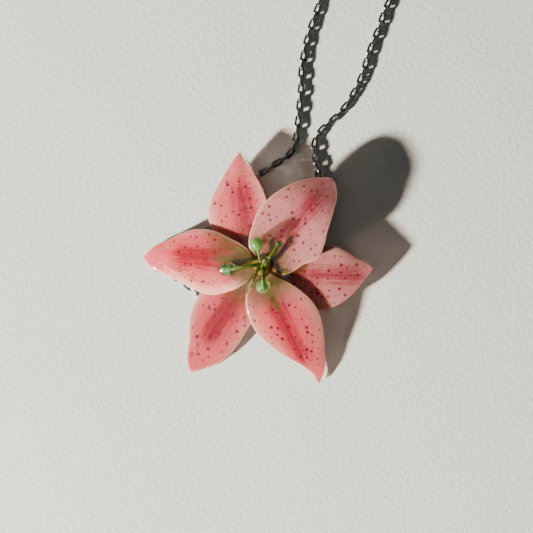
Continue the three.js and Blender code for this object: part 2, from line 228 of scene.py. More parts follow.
def place_in_scene(name: str, data: bpy.types.ID) -> bpy.types.Object:
    """Make an object of a mesh, a lamp or a camera, and put it into the scene."""
    made = bpy.data.objects.new(name, data)
    bpy.context.scene.collection.objects.link(made)
    return made


def settle_modifiers(piece: bpy.types.Object) -> bpy.types.Mesh:
    """Make what a piece's modifiers show its own mesh, and take them off.

    Args:
        piece: The piece.

    Returns:
        Its new mesh.
    """
    shown = piece.evaluated_get(bpy.context.evaluated_depsgraph_get())
    mesh = bpy.data.meshes.new_from_object(shown)
    piece.modifiers.clear()
    piece.data = mesh
    return mesh


def new_piece(name: str, points: Sequence[Vector], faces: Sequence[Sequence[int]],
              attributes: dict[str, Sequence[Vector]] | None = None) -> bpy.types.Object:
    """Make a smooth closed mesh object.

    Args:
        name: The piece's name.
        points: Its points, in millimetres in the row frame.
        faces: Its faces, as indices of points.
        attributes: Named vectors, one for each point.

    Returns:
        The object, with merged doubles and outward normals.
    """
    mesh = bpy.data.meshes.new(name)
    mesh.from_pydata([tuple(p * MM) for p in points], [], [list(f) for f in faces])
    for key, values in (attributes or {}).items():
        layer = mesh.attributes.new(key, "FLOAT_VECTOR", "POINT")
        layer.data.foreach_set("vector", [c for v in values for c in v])
    work = bmesh.new()
    work.from_mesh(mesh)
    bmesh.ops.remove_doubles(work, verts=work.verts, dist=MERGE_DISTANCE)
    bmesh.ops.dissolve_degenerate(work, edges=work.edges, dist=1e-7)
    bmesh.ops.recalc_face_normals(work, faces=work.faces)
    if work.calc_volume(signed=True) < 0:
        bmesh.ops.reverse_faces(work, faces=work.faces)
    work.to_mesh(mesh)
    work.free()
    mesh.shade_smooth()
    return place_in_scene(name, mesh)


def dress(piece: bpy.types.Object, material: bpy.types.Material,
          nodes: Sequence[str] = (), body: str = NECKLACE) -> bpy.types.Object:
    """Give a piece its material, hide the nodes it stands for, and hang it on its body.

    Args:
        piece: The piece.
        material: Its material.
        nodes: The nodes it stands for.
        body: The body it moves with.

    Returns:
        The piece.
    """
    piece.data.materials.clear()
    piece.data.materials.append(material)
    if nodes:
        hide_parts(*nodes)
    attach(piece, body)
    log.info("%s: %d faces, moves with the %s", piece.name, len(piece.data.polygons), body)
    return piece


# ---- materials -------------------------------------------------------------------------------


@dataclass
class Wiring:
    """A node tree with short ways to add nodes and values to it."""

    tree: bpy.types.NodeTree

    def add(self, kind: str, inputs: dict[str | int, object] | None = None,
            **settings: object) -> bpy.types.Node:
        """Add a node.

        Args:
            kind: The node's type.
            inputs: Values or sockets for its inputs, by name or place.
            **settings: The node's own settings.

        Returns:
            The node.
        """
        node = self.tree.nodes.new(kind)
        for key, value in settings.items():
            setattr(node, key, value)
        for key, value in (inputs or {}).items():
            socket = node.inputs[key]
            if isinstance(value, bpy.types.NodeSocket):
                self.tree.links.new(value, socket)
            else:
                socket.default_value = value
        return node

    def place(self) -> bpy.types.NodeSocket:
        """The place of a point on its object."""
        return self.add("ShaderNodeTexCoord").outputs["Object"]

    def pass_light(self, shader: bpy.types.Node, shade: Colour, share: float = 1.0) -> bpy.types.NodeSocket:
        """Let light through a surface where it would cast a shadow.

        Args:
            shader: The surface.
            shade: The colour of the light behind it.
            share: How much of the light passes.

        Returns:
            The surface with its lighter shadow.
        """
        shadow = self.add("ShaderNodeLightPath").outputs["Is Shadow Ray"]
        passed = shadow if share == 1.0 else self.math("MULTIPLY", shadow, share)
        clear = self.add("ShaderNodeBsdfTransparent", {"Color": shade})
        inputs = {0: passed, 1: shader.outputs[0], 2: clear.outputs[0]}
        return self.add("ShaderNodeMixShader", inputs).outputs[0]

    def math(self, operation: str, *values: object, clamp: bool = False) -> bpy.types.NodeSocket:
        """Put a sum into the tree.

        Args:
            operation: What is done.
            *values: Numbers or sockets.
            clamp: Whether the result stays between 0 and 1.

        Returns:
            The result.
        """
        inputs = dict(enumerate(values))
        return self.add("ShaderNodeMath", inputs, operation=operation, use_clamp=clamp).outputs[0]

    def ease(self, value: object, low: object, high: object, start: float = 0.0,
             end: float = 1.0) -> bpy.types.NodeSocket:
        """Ease a value from start at low to end at high.

        Args:
            value: The value.
            low: Where it leaves start.
            high: Where it reaches end.
            start: The first result.
            end: The last result.

        Returns:
            The eased value.
        """
        inputs = {"Value": value, "From Min": low, "From Max": high, "To Min": start,
                  "To Max": end}
        node = self.add("ShaderNodeMapRange", inputs, interpolation_type="SMOOTHSTEP")
        return node.outputs["Result"]

    def blend(self, share: object, first: object, second: object) -> bpy.types.NodeSocket:
        """Mix two colours.

        Args:
            share: How much of the second there is.
            first: The first colour.
            second: The second colour.

        Returns:
            The mixed colour.
        """
        node = self.add("ShaderNodeMix", {0: share, 6: first, 7: second}, data_type="RGBA")
        return node.outputs[2]

    def grain(self, place: object, scale: object, detail: float = 3.0,
              roughness: float = 0.5) -> bpy.types.NodeSocket:
        """Put smooth noise into the tree.

        Args:
            place: Where it is read.
            scale: How fine it is.
            detail: How many finer layers lie on it.
            roughness: How strong they are.

        Returns:
            The noise, from 0 to 1.
        """
        inputs = {"Vector": place, "Scale": scale, "Detail": detail, "Roughness": roughness}
        return self.add("ShaderNodeTexNoise", inputs).outputs[0]

    def bump(self, height: object, strength: float, distance: float) -> bpy.types.NodeSocket:
        """Turn a height into a normal.

        Args:
            height: The height, from 0 to 1.
            strength: How much of it shows.
            distance: How high 1 is, in metres.

        Returns:
            The normal.
        """
        inputs = {"Height": height, "Strength": strength, "Distance": distance}
        return self.add("ShaderNodeBump", inputs).outputs[0]


def open_material(name: str) -> tuple[bpy.types.Material, Wiring, bpy.types.NodeSocket]:
    """Start a material.

    Args:
        name: Its name.

    Returns:
        The material, its wiring and its surface socket.
    """
    material = bpy.data.materials.new(name)
    material.use_nodes = True
    material.node_tree.nodes.clear()
    wiring = Wiring(material.node_tree)
    output = wiring.add("ShaderNodeOutputMaterial")
    return material, wiring, output.inputs["Surface"]


def open_group(
    name: str, inputs: dict[str, tuple[str, object]], outputs: dict[str, str],
) -> tuple[bpy.types.NodeTree, Wiring, bpy.types.Node, bpy.types.Node]:
    """Start a group of shader nodes.

    Args:
        name: Its name.
        inputs: The kind and first value of each input.
        outputs: The kind of each output.

    Returns:
        The group, its wiring, its input node and its output node.
    """
    tree = bpy.data.node_groups.new(name, "ShaderNodeTree")
    for key, (kind, value) in inputs.items():
        socket = tree.interface.new_socket(key, in_out="INPUT", socket_type=f"NodeSocket{kind}")
        socket.default_value = value
    for key, kind in outputs.items():
        tree.interface.new_socket(key, in_out="OUTPUT", socket_type=f"NodeSocket{kind}")
    wiring = Wiring(tree)
    return tree, wiring, wiring.add("NodeGroupInput"), wiring.add("NodeGroupOutput")


def resin_skin_group() -> bpy.types.NodeTree:
    """Build the gentle unevenness that hand-cured resin has.

    Returns:
        The group, which puts out a normal.
    """
    tree, wires, given, out = open_group(
        "resin skin",
        {"Place": ("Vector", (0.0, 0.0, 0.0)), "Wave": ("Float", 320.0), "Height": ("Float", 0.3)},
        {"Normal": "Vector"},
    )
    scale = given.outputs["Wave"]
    wave = wires.grain(given.outputs["Place"], scale, 1.0)
    fine = wires.grain(given.outputs["Place"], wires.math("MULTIPLY", scale, 5.0), 2.0)
    both = wires.math("MULTIPLY_ADD", fine, 0.06, wave)
    inputs = {"Height": both, "Strength": given.outputs["Height"], "Distance": 0.4 * MM}
    normal = wires.add("ShaderNodeBump", inputs)
    wires.tree.links.new(normal.outputs[0], out.inputs["Normal"])
    return tree


def polish_group() -> bpy.types.NodeTree:
    """Build the fine scuffs and dullness of worn steel plate. Where its tones are dark, as on the chain, the
    dullness is painted dark reflection as well as wear.

    Returns:
        The group, which puts out a tint, a roughness and a normal.
    """
    tree, wires, given, out = open_group(
        "worn polish",
        {"Place": ("Vector", (0.0, 0.0, 0.0)), "Bright": ("Color", rgb(200, 200, 203)),
         "Dull": ("Color", rgb(120, 118, 118)), "Wear": ("Float", 0.4)},
        {"Tint": "Color", "Roughness": "Float", "Normal": "Vector"},
    )
    place = given.outputs["Place"]
    cloud = wires.grain(place, 700.0)
    drawn_out = wires.add("ShaderNodeMapping", {"Vector": place, "Scale": (1.0, 7.0, 2.0)})
    scuff = wires.grain(drawn_out.outputs[0], 2600.0, 2.0)
    worn = wires.math("MULTIPLY", wires.ease(cloud, 0.42, 0.68), given.outputs["Wear"])
    tint = wires.blend(worn, given.outputs["Bright"], given.outputs["Dull"])
    rough = wires.math("MULTIPLY_ADD", worn, 0.25, wires.ease(scuff, 0.45, 0.75, 0.12, 0.24))
    normal = wires.bump(scuff, 0.12, 0.02 * MM)
    for key, value in (("Tint", tint), ("Roughness", rough), ("Normal", normal)):
        wires.tree.links.new(value, out.inputs[key])
    return tree


LIGHT_THROUGH_PAINT = (0.9, 0.64, 0.66, 1.0)
STREAK_FADE_IN = 0.12
STREAK_FADE_OUT = 0.22
RIB_WIDTH = 0.28


def petal_paint_group() -> bpy.types.NodeTree:
    """Build the painting of a petal's sheet, which each petal fills in with its own values.

    The Lie of a point is its share of the petal's length, its place across the midline in
    millimetres and its distance from the edge of the sheet in millimetres.

    Returns:
        The group, which puts out a colour and the height of the paint.
    """
    tree, wires, given, out = open_group(
        "lily paint",
        {
            "Lie": ("Vector", (0.0, 0.0, 0.0)), "Place": ("Vector", (0.0, 0.0, 0.0)),
            "Seed": ("Float", 0.0), "Streak Width": ("Float", 2.0),
            "Streak Start": ("Float", 0.1), "Streak End": ("Float", 0.8),
            "Streak Strength": ("Float", 0.8), "Green Reach": ("Float", 0.3),
            "Green Strength": ("Float", 0.6), "Margin": ("Float", 3.0),
            "Flush": ("Float", 0.6), "Spots": ("Float", 0.5), "Streak Shift": ("Float", 0.0),
            "Tilt": ("Float", 0.0), "Spike": ("Float", 0.0), "Green Tilt": ("Float", 0.0),
            "Rim Light Paint": ("Color", rgb(196, 150, 134)), "Pale": ("Color", rgb(162, 106, 98)),
            "Pink": ("Color", rgb(172, 70, 78)), "Red": ("Color", rgb(130, 34, 46)),
            "Spot": ("Color", rgb(82, 22, 32)), "Brown": ("Color", rgb(92, 54, 39)),
            "Green": ("Color", rgb(68, 63, 29)),
        },
        {"Colour": "Color", "Height": "Float"},
    )
    g = given.outputs
    parts = wires.add("ShaderNodeSeparateXYZ", {0: g["Lie"]}).outputs
    along, across, edge = parts[0], parts[1], parts[2]
    seed = wires.add("ShaderNodeCombineXYZ", {0: g["Seed"], 1: g["Seed"], 2: g["Seed"]}).outputs[0]
    place = wires.add("ShaderNodeVectorMath", {0: g["Place"], 1: (1 / MM, 1 / MM, 0.0)},
                      operation="MULTIPLY").outputs[0]
    place = wires.add("ShaderNodeVectorMath", {0: place, 1: seed}, operation="ADD").outputs[0]
    soft = wires.grain(place, 0.35, 2.0)
    mottle = wires.grain(place, 1.6, 4.0, 0.6)
    brush = wires.add("ShaderNodeCombineXYZ", {
        0: wires.math("MULTIPLY", along, 3.5), 1: wires.math("MULTIPLY", across, 1.5), 2: g["Seed"]})
    lines = wires.grain(brush.outputs[0], 1.4, 4.0, 0.55)
    middle = wires.math("SUBTRACT", wires.math("SUBTRACT", across, 0.5), g["Streak Shift"])
    wander = wires.math("MULTIPLY_ADD", soft, 1.0, middle)

    def bell(distance: object, width: object) -> bpy.types.NodeSocket:
        """Fall away from the midline like a bell."""
        ratio = wires.math("DIVIDE", distance, width)
        square = wires.math("MULTIPLY", ratio, ratio)
        return wires.math("POWER", math.e, wires.math("MULTIPLY", -1.0, square))

    start_late = wires.math("ADD", g["Streak Start"], STREAK_FADE_IN)
    end_early = wires.math("SUBTRACT", g["Streak End"], STREAK_FADE_OUT)
    window = wires.math("MULTIPLY", wires.ease(along, g["Streak Start"], start_late),
                        wires.ease(along, end_early, g["Streak End"], 1.0, 0.0))
    strokes = wires.math("MULTIPLY_ADD", mottle, 0.3, wires.math("MULTIPLY", lines, 0.7))
    feather = wires.ease(strokes, 0.38, 0.6, 0.75, 1.75)
    streak = wires.math("MULTIPLY", bell(wander, g["Streak Width"]), window)
    streak = wires.math("MULTIPLY", streak, feather)
    streak = wires.math("MULTIPLY", streak, g["Streak Strength"], clamp=True)
    beside_rib = wires.math("MULTIPLY_ADD", soft, 0.4, wires.math("ADD", middle, 0.3))
    rib = wires.math("MULTIPLY", bell(beside_rib, RIB_WIDTH), window)

    inward = wires.math("ADD", edge, wires.math("MULTIPLY_ADD", mottle, 1.2, -0.6))
    inside = wires.ease(inward, 0.2, g["Margin"])
    towards_tip = wires.ease(along, 0.5, 1.0)
    flush = wires.math("MULTIPLY_ADD", wires.math("MULTIPLY", across, 0.16), g["Tilt"],
                       wires.math("MAXIMUM", inside, towards_tip))
    flush = wires.math("MULTIPLY", flush, g["Flush"])
    flush = wires.math("MULTIPLY", flush, wires.ease(mottle, 0.3, 0.7, 0.85, 1.4), clamp=True)
    colour = wires.blend(flush, g["Pale"], g["Pink"])
    vein = wires.ease(lines, 0.5, 0.7, 0.0, 0.34)
    colour = wires.blend(wires.math("MULTIPLY", vein, inside), colour, g["Red"])
    colour = wires.blend(streak, colour, g["Red"])
    colour = wires.blend(wires.math("MULTIPLY", rib, 0.42), colour, g["Spot"])

    reach = wires.math("MULTIPLY_ADD", mottle, 0.2, wires.math("SUBTRACT", along, 0.1))
    reach = wires.math("MULTIPLY_ADD", across, wires.math("MULTIPLY", g["Green Tilt"], -1.0), reach)
    green_full = wires.math("MULTIPLY", g["Green Reach"], 0.45)
    base = wires.ease(reach, green_full, g["Green Reach"], 1.0, 0.0)
    base = wires.math("MULTIPLY", base, g["Green Strength"], clamp=True)
    leafy = wires.ease(wires.math("ADD", soft, lines), 0.84, 1.06)
    colour = wires.blend(base, colour, wires.blend(leafy, g["Brown"], g["Green"]))
    spike = wires.ease(along, wires.math("MULTIPLY", g["Spike"], 0.8), g["Spike"], 1.0, 0.0)
    spike = wires.math("MULTIPLY", bell(wires.math("ADD", middle, 0.5), 0.6), spike)
    colour = wires.blend(spike, colour, g["Green"])

    def dots(scale: float, size: float, share: float) -> bpy.types.NodeSocket:
        """Scatter round dots of uneven size over the sheet.

        Args:
            scale: How many cells there are in a millimetre.
            size: By how much the dots differ in size, in cells.
            share: How many of the cells hold a dot.

        Returns:
            1 on a dot and 0 beside it.
        """
        inputs = {"Vector": place, "Scale": scale, "Randomness": 1.0}
        cells = wires.add("ShaderNodeTexVoronoi", inputs, voronoi_dimensions="2D")
        lot = wires.add("ShaderNodeSeparateColor", {0: cells.outputs["Color"]}).outputs
        near = wires.math("MULTIPLY_ADD", mottle, 0.5, cells.outputs["Distance"])
        radius = wires.math("MULTIPLY_ADD", lot[1], size, 0.27 + size * 0.4)
        mask = wires.ease(wires.math("SUBTRACT", near, radius), -0.05, 0.06, 1.0, 0.0)
        kept = wires.math("GREATER_THAN", wires.math("MULTIPLY", g["Spots"], share), lot[0])
        return wires.math("MULTIPLY", mask, kept)

    past_throat, before_tip = wires.ease(along, 0.12, 0.22), wires.ease(along, 0.75, 0.98, 1.0, 0.3)
    where = wires.math("MULTIPLY", past_throat, before_tip)
    where = wires.math("MULTIPLY", where, wires.ease(edge, 0.2, 1.2))
    large = dots(0.8, 0.2, 0.42)
    fine = dots(1.7, 0.15, 0.5)
    speck = wires.math("MAXIMUM", large, wires.math("MULTIPLY", fine, 0.6))
    speck = wires.math("MULTIPLY", wires.math("MULTIPLY", speck, where), 0.95)
    colour = wires.blend(speck, colour, g["Spot"])
    # Painted rim light: a lighter peach band along the sheet's edge stands in for the light that the clear
    # resin rim catches and bends.
    painted_rim_light = wires.ease(edge, 0.05, 0.4, 1.0, 0.0)
    rim = wires.math("MULTIPLY", painted_rim_light, wires.ease(along, 0.1, 0.25))
    colour = wires.blend(wires.math("MULTIPLY", rim, 0.5), colour, g["Rim Light Paint"])

    height = wires.math("MULTIPLY_ADD", lines, 0.5, wires.math("MULTIPLY", mottle, 0.5))
    wires.tree.links.new(colour, out.inputs["Colour"])
    wires.tree.links.new(height, out.inputs["Height"])
    return tree


@dataclass(frozen=True)
class PetalPaint:
    """How one petal is painted. Lengths along it are shares of the petal's length."""

    seed: float
    streak_width: float
    streak_start: float
    streak_end: float
    streak_strength: float
    green_reach: float
    green_strength: float
    margin: float
    flush: float
    spots: float
    streak_shift: float
    pale: Colour
    pink: Colour
    red: Colour
    tilt: float = 0.0
    spike: float = 0.0
    green_tilt: float = 0.0
    glow: float = 0.18

    def material(self, name: str, group: bpy.types.NodeTree) -> bpy.types.Material:
        """Make the paint.

        Args:
            name: The petal's name.
            group: The shared painting.

        Returns:
            The material of the painted sheet.
        """
        material, wires, surface = open_material(f"paint {name}")
        lie = wires.add("ShaderNodeAttribute", attribute_name="lie", attribute_type="GEOMETRY")
        paint = wires.add("ShaderNodeGroup", {
            "Lie": lie.outputs["Vector"], "Place": wires.place(),
            "Seed": self.seed, "Streak Width": self.streak_width, "Streak Start": self.streak_start,
            "Streak End": self.streak_end, "Streak Strength": self.streak_strength,
            "Green Reach": self.green_reach, "Green Strength": self.green_strength,
            "Margin": self.margin, "Flush": self.flush, "Spots": self.spots,
            "Streak Shift": self.streak_shift, "Tilt": self.tilt, "Spike": self.spike,
            "Green Tilt": self.green_tilt,
            "Pale": self.pale, "Pink": self.pink, "Red": self.red,
        }, node_tree=group)
        normal = wires.bump(paint.outputs["Height"], 0.25, 0.05 * MM)
        shader = wires.add("ShaderNodeBsdfPrincipled", {
            "Base Color": paint.outputs["Colour"], "Roughness": 0.6, "Specular IOR Level": 0.0,
            "Normal": normal,
        })
        wires.tree.links.new(wires.pass_light(shader, LIGHT_THROUGH_PAINT, self.glow), surface)
        return material


@dataclass(frozen=True)
class ResinFinish:
    """Cured resin that light passes through."""

    name: str
    tint: Colour
    shade: Colour
    roughness: float
    transmission: float = 1.0
    wave: float = 260.0
    height: float = 0.25

    def material(self, skin: bpy.types.NodeTree) -> bpy.types.Material:
        """Make the resin.

        Args:
            skin: The shared unevenness.

        Returns:
            The material.
        """
        material, wires, surface = open_material(self.name)
        uneven = wires.add("ShaderNodeGroup", {
            "Place": wires.place(), "Wave": self.wave, "Height": self.height}, node_tree=skin)
        glass = wires.add("ShaderNodeBsdfPrincipled", {
            "Base Color": self.tint, "Roughness": self.roughness, "IOR": 1.5,
            "Transmission Weight": self.transmission, "Normal": uneven.outputs["Normal"],
        })
        wires.tree.links.new(wires.pass_light(glass, self.shade), surface)
        return material


@dataclass(frozen=True)
class SteelFinish:
    """Polished plate with fine wear."""

    name: str
    bright: Colour
    dull: Colour
    wear: float

    def material(self, polish: bpy.types.NodeTree) -> bpy.types.Material:
        """Make the steel.

        Args:
            polish: The shared wear.

        Returns:
            The material.
        """
        material, wires, surface = open_material(self.name)
        worn = wires.add("ShaderNodeGroup", {
            "Place": wires.place(), "Bright": self.bright, "Dull": self.dull, "Wear": self.wear,
        }, node_tree=polish)
        shader = wires.add("ShaderNodeBsdfPrincipled", {
            "Base Color": worn.outputs["Tint"], "Metallic": 1.0,
            "Roughness": worn.outputs["Roughness"], "Normal": worn.outputs["Normal"],
        })
        wires.tree.links.new(shader.outputs[0], surface)
        return material


@dataclass(frozen=True)
class PaintFinish:
    """Soft-toned paint or dyed resin that light doesn't pass."""

    name: str
    light: Colour
    dark: Colour
    scale: float
    roughness: float = 0.4

    def material(self) -> bpy.types.Material:
        """Make the paint.

        Returns:
            The material.
        """
        material, wires, surface = open_material(self.name)
        cloud = wires.grain(wires.place(), self.scale, 4.0, 0.6)
        tint = wires.blend(wires.ease(cloud, 0.35, 0.65), self.light, self.dark)
        rough = wires.ease(cloud, 0.3, 0.7, self.roughness * 0.8, self.roughness * 1.2)
        shader = wires.add("ShaderNodeBsdfPrincipled", {
            "Base Color": tint, "Roughness": rough, "Normal": wires.bump(cloud, 0.3, 0.05 * MM),
        })
        wires.tree.links.new(shader.outputs[0], surface)
        return material


@dataclass
class Finishes:
    """Every material of the necklace, made once."""

    coat: bpy.types.Material = field(init=False)
    throat: bpy.types.Material = field(init=False)
    stem: bpy.types.Material = field(init=False)
    bead_milky: bpy.types.Material = field(init=False)
    bead_green: bpy.types.Material = field(init=False)
    bead_clear: bpy.types.Material = field(init=False)
    wire_green: bpy.types.Material = field(init=False)
    heart: bpy.types.Material = field(init=False)
    kernel: bpy.types.Material = field(init=False)
    bail: bpy.types.Material = field(init=False)
    chain: bpy.types.Material = field(init=False)
    clasp: bpy.types.Material = field(init=False)
    paint: bpy.types.NodeTree = field(init=False)

    def __post_init__(self) -> None:
        """Make the shared groups, then the materials."""
        skin, polish = resin_skin_group(), polish_group()
        self.paint = petal_paint_group()
        self.coat = ResinFinish("petal coat", rgb(254, 244, 238), rgb(254, 242, 234),
                                roughness=0.09, height=0.4).material(skin)
        self.throat = ResinFinish("throat resin", rgb(214, 200, 150), rgb(235, 225, 195),
                                  roughness=0.06, wave=520.0, height=0.8).material(skin)
        self.stem = ResinFinish("stem resin", rgb(214, 216, 166), rgb(214, 212, 180),
                                roughness=0.06, wave=900.0, height=0.8).material(skin)
        self.bead_milky = ResinFinish("milky bead", rgb(128, 184, 98), rgb(200, 190, 182),
                                      transmission=0.72, roughness=0.15, wave=500.0).material(skin)
        self.bead_green = ResinFinish("green bead", rgb(184, 222, 142), rgb(206, 214, 180), transmission=0.9,
                                      roughness=0.1, wave=700.0, height=0.8).material(skin)
        self.bead_clear = ResinFinish("clear bead", rgb(232, 242, 218), rgb(220, 224, 200),
                                      roughness=0.08, wave=620.0, height=0.8).material(skin)
        self.wire_green = PaintFinish("stem green", rgb(74, 92, 26), rgb(40, 54, 18), 900.0).material()
        self.heart = PaintFinish("throat green", rgb(126, 114, 62), rgb(124, 84, 60), 1100.0).material()
        self.kernel = PaintFinish("bead heart", rgb(84, 118, 74), rgb(44, 70, 48), 900.0).material()
        self.bail = SteelFinish("bail plate", rgb(205, 204, 203), rgb(150, 148, 146), 0.5).material(polish)
        # Painted reflection: the chain's steel has much darker tones, and more of the dull one, than the
        # clasp's, standing in for the dark surroundings that its links reflect.
        self.chain = SteelFinish("chain plate painted dark", rgb(148, 148, 146), rgb(62, 60, 56), 0.75).material(polish)
        self.clasp = SteelFinish("clasp plate", rgb(205, 204, 203), rgb(140, 138, 137), 0.4).material(polish)


# ---- place of the bloom ----------------------------------------------------------------------


@dataclass(frozen=True)
class BloomPlace:
    """Where the bloom's middle lies in the frame, and how the bloom leans."""

    middle: Vector
    slope: float = 0.137
    rise_azimuth: float = 50.0

    @classmethod
    def from_bail(cls) -> "BloomPlace":
        """Find the middle, which is over the middle of the bail."""
        low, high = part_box("bail")
        return cls(Vector(((low.x + high.x) / 2, (low.y + high.y) / 2, low.z)) / MM)

    def lean(self, x: float, y: float) -> float:
        """Height that the lean adds at a place in the bloom."""
        way = math.radians(self.rise_azimuth)
        return self.slope * (x * math.cos(way) + y * math.sin(way))

    def at(self, x: float, y: float, z: float) -> Vector:
        """A place seen from the bloom's middle, in the frame's millimetres."""
        return self.middle + Vector((x, y, z))

    def leaned(self, x: float, y: float, z: float) -> Vector:
        """A place on the leaning bloom, in the frame's millimetres."""
        return self.at(x, y, z + self.lean(x, y))


# ---- petals ----------------------------------------------------------------------------------

OUTLINE_STATIONS = (0.2, 0.35, 0.5, 0.65, 0.8, 0.92, 1.0)
RISE_STATIONS = (0.0, 0.35, 0.7, 1.0)
THROAT_RADIUS = 0.9
ROOT_RADIUS = THROAT_RADIUS + 0.2
SEAM_GAP = 0.3
COAT_THICKNESS = 1.0
PETAL_ROWS = 46
PETAL_LINES = 9


@dataclass(frozen=True)
class PetalShape:
    """Outline and rise of a petal. Half-angles are in degrees, left is the anticlockwise side."""

    name: str
    azimuth: float
    length: float
    layer: Layer
    left: tuple[float, ...]
    right: tuple[float, ...]
    rise: tuple[float, ...]
    edges: tuple[float, float]
    roots: tuple[float, float]
    margins: tuple[float, float]
    tip_margin: float

    def half_angle(self, side: float, radius: float) -> float:
        """Half-angle of one side of the petal.

        Args:
            side: Above 0 for the left side.
            radius: Distance from the middle of the bloom.

        Returns:
            The half-angle in radians.
        """
        outline = self.left if side > 0 else self.right
        root = self.roots[0] if side > 0 else self.roots[1]
        share = radius / self.length
        first = OUTLINE_STATIONS[0]
        if share < first:
            opened = root + (outline[0] - root) * share / first
        else:
            opened = through(OUTLINE_STATIONS, outline, share)
        seam = root - math.degrees(SEAM_GAP / 2 / radius)
        return math.radians(min(opened, seam))

    def width(self, side: float, radius: float) -> float:
        """Width of one side, along the arc at a radius."""
        return radius * self.half_angle(side, radius)

    def height(self, share: float, side: float, across: float) -> float:
        """Height of the petal's middle surface before the bloom's lean.

        Args:
            share: Place along the petal.
            side: -1 at the right edge to 1 at the left edge.
            across: Distance from the midline.

        Returns:
            The height over the surface that the pendant rests on.
        """
        edge = self.edges[0] if side > 0 else self.edges[1]
        swell = smoothstep(0.2, 0.6, share) * (1 - smoothstep(0.8, 1.0, share))
        crease = 0.16 * math.exp(-(across / 0.7) ** 2) * smoothstep(0.15, 0.35, share)
        rise = through(RISE_STATIONS, self.rise, share)
        return self.layer.value + rise + edge * swell * side * side - crease * (1 - share)


@dataclass
class Petal:
    """A painted sheet inside a thicker coat of clear resin."""

    shape: PetalShape
    paint: PetalPaint
    place: BloomPlace
    sheet_thickness: float = 0.34
    round_edge: float = 0.5

    def lines_across(self, near_edge: Sequence[float], inner: int) -> Callable[[float], list[float]]:
        """Plan where the mesh has lines between the midline and an edge.

        Args:
            near_edge: Distances from the edge of the outermost lines, rising from 0.
            inner: How many lines there are between them and the midline.

        Returns:
            A function from a width to the lines' shares of it, from 1 down to 0.
        """
        def lines(width: float) -> list[float]:
            """Shares of a width, from its edge to the midline."""
            outer = [1 - min(d / max(width, 1e-6), 0.1 * k) for k, d in enumerate(near_edge)]
            return outer + [outer[-1] * (1 - (k + 1) / inner) for k in range(inner)]
        return lines

    def build(self, name: str, thickness: float, rounding: float, margins: tuple[float, float],
              tip: float, seed: float) -> bpy.types.Object:
        """Build one closed shell that follows the petal.

        Args:
            name: The piece's name.
            thickness: Its thickness.
            rounding: How far from the edge it thins out.
            margins: How far the left and right edges stay inside the petal's outline.
            tip: How far the tip stays inside.
            seed: Which unevenness its faces have.

        Returns:
            The shell, with the lie of each point as an attribute.
        """
        shape = self.shape
        near = [rounding * k for k in (0, 0.06, 0.2, 0.5, 1.0)]
        end = shape.length - tip
        radii = [ROOT_RADIUS + d for d in near]
        span = end - rounding - radii[-1]
        radii += [radii[-1] + span * k / PETAL_ROWS for k in range(1, PETAL_ROWS + 1)]
        radii += [end - d for d in reversed(near[:-1])]
        lines = self.lines_across(near, PETAL_LINES)
        points: list[Vector] = []
        lies: list[Vector] = []
        count = 0
        for radius in radii:
            ends = min(radius - ROOT_RADIUS, end - radius)
            row: list[tuple[float, float, float]] = []
            for side in (-1, 1):
                full = shape.width(side, radius)
                inset = min(margins[0] if side > 0 else margins[1], 0.8 * full)
                inset *= smoothstep(ROOT_RADIUS - 0.6, ROOT_RADIUS + 2.5, radius)
                width = full - inset
                part = [(side * width * s / full, side * width * s, width * (1 - s))
                        for s in lines(width)]
                row += part if side < 0 else part[-2::-1]
            both = [(entry, 1) for entry in row] + [(entry, -1) for entry in reversed(row)]
            count = len(both)
            for (side, across, from_edge), face in both:
                depth = min(1.0, min(from_edge, max(ends, 0.0)) / rounding)
                half = thickness / 2 * math.sqrt(max(0.0, 1 - (1 - depth) ** 2))
                angle = math.radians(shape.azimuth) + side * shape.half_angle(side, radius)
                x, y = radius * math.cos(angle), radius * math.sin(angle)
                share = radius / shape.length
                swell = 1 + 0.1 * ripple(Vector((x, y, 3.0 * face)), 3.5, seed)
                z = shape.height(share, side, across) + face * half * swell
                points.append(self.place.leaned(x, y, z))
                lies.append(Vector((share, across, from_edge)))
        faces = ring_faces(len(radii), count)
        return new_piece(name, points, faces, {"lie": lies})

    def make(self, finishes: Finishes) -> None:
        """Build the sheet and its coat.

        Args:
            finishes: The materials.
        """
        name = self.shape.name
        coat = self.build(f"{name}_coat", COAT_THICKNESS, self.round_edge, (0.0, 0.0), 0.0,
                          self.paint.seed)
        dress(coat, finishes.coat, [name])
        sheet = self.build(f"{name}_sheet", self.sheet_thickness, self.sheet_thickness / 2,
                           self.shape.margins, self.shape.tip_margin, self.paint.seed + 7)
        dress(sheet, self.paint.material(name, finishes.paint), [name])


# ---- round bars and beads --------------------------------------------------------------------


def bar(name: str, route: Sequence[Vector], radii: Sequence[float], sides: int,
        unevenness: float) -> bpy.types.Object:
    """Build a round bar of changing thickness with domed ends.

    Args:
        name: The piece's name.
        route: Points of its middle line.
        radii: Its radius at even steps along it.
        sides: How many points go round it.
        unevenness: Share of the radius by which it wanders.

    Returns:
        The bar.
    """
    samples = catmull_rom(route, 0.18)
    last = len(samples) - 1
    stations = [k / (len(radii) - 1) for k in range(len(radii))]
    points: list[Vector] = []
    heading = samples[1] - samples[0]
    normal = heading.orthogonal().normalized()
    domes = [(-math.cos(a), math.sin(a)) for a in (0.0, 0.35, 0.75, 1.15)]
    plan = [(0, back, size) for back, size in domes]
    plan += [(k, 0.0, 1.0) for k in range(last + 1)]
    plan += [(last, -back, size) for back, size in reversed(domes)]
    for k, push, size in plan:
        ahead = (samples[min(k + 1, last)] - samples[max(k - 1, 0)]).normalized()
        normal = (normal - ahead * normal.dot(ahead)).normalized()
        side = ahead.cross(normal)
        radius = through(stations, radii, k / last)
        for angle in angles(sides):
            out = normal * math.cos(angle) + side * math.sin(angle)
            wander = 1 + unevenness * ripple(samples[k] + out * radius, 0.9, 3.1)
            points.append(samples[k] + ahead * push * radius + out * radius * size * wander)
    return new_piece(name, points, ring_faces(len(plan), sides))


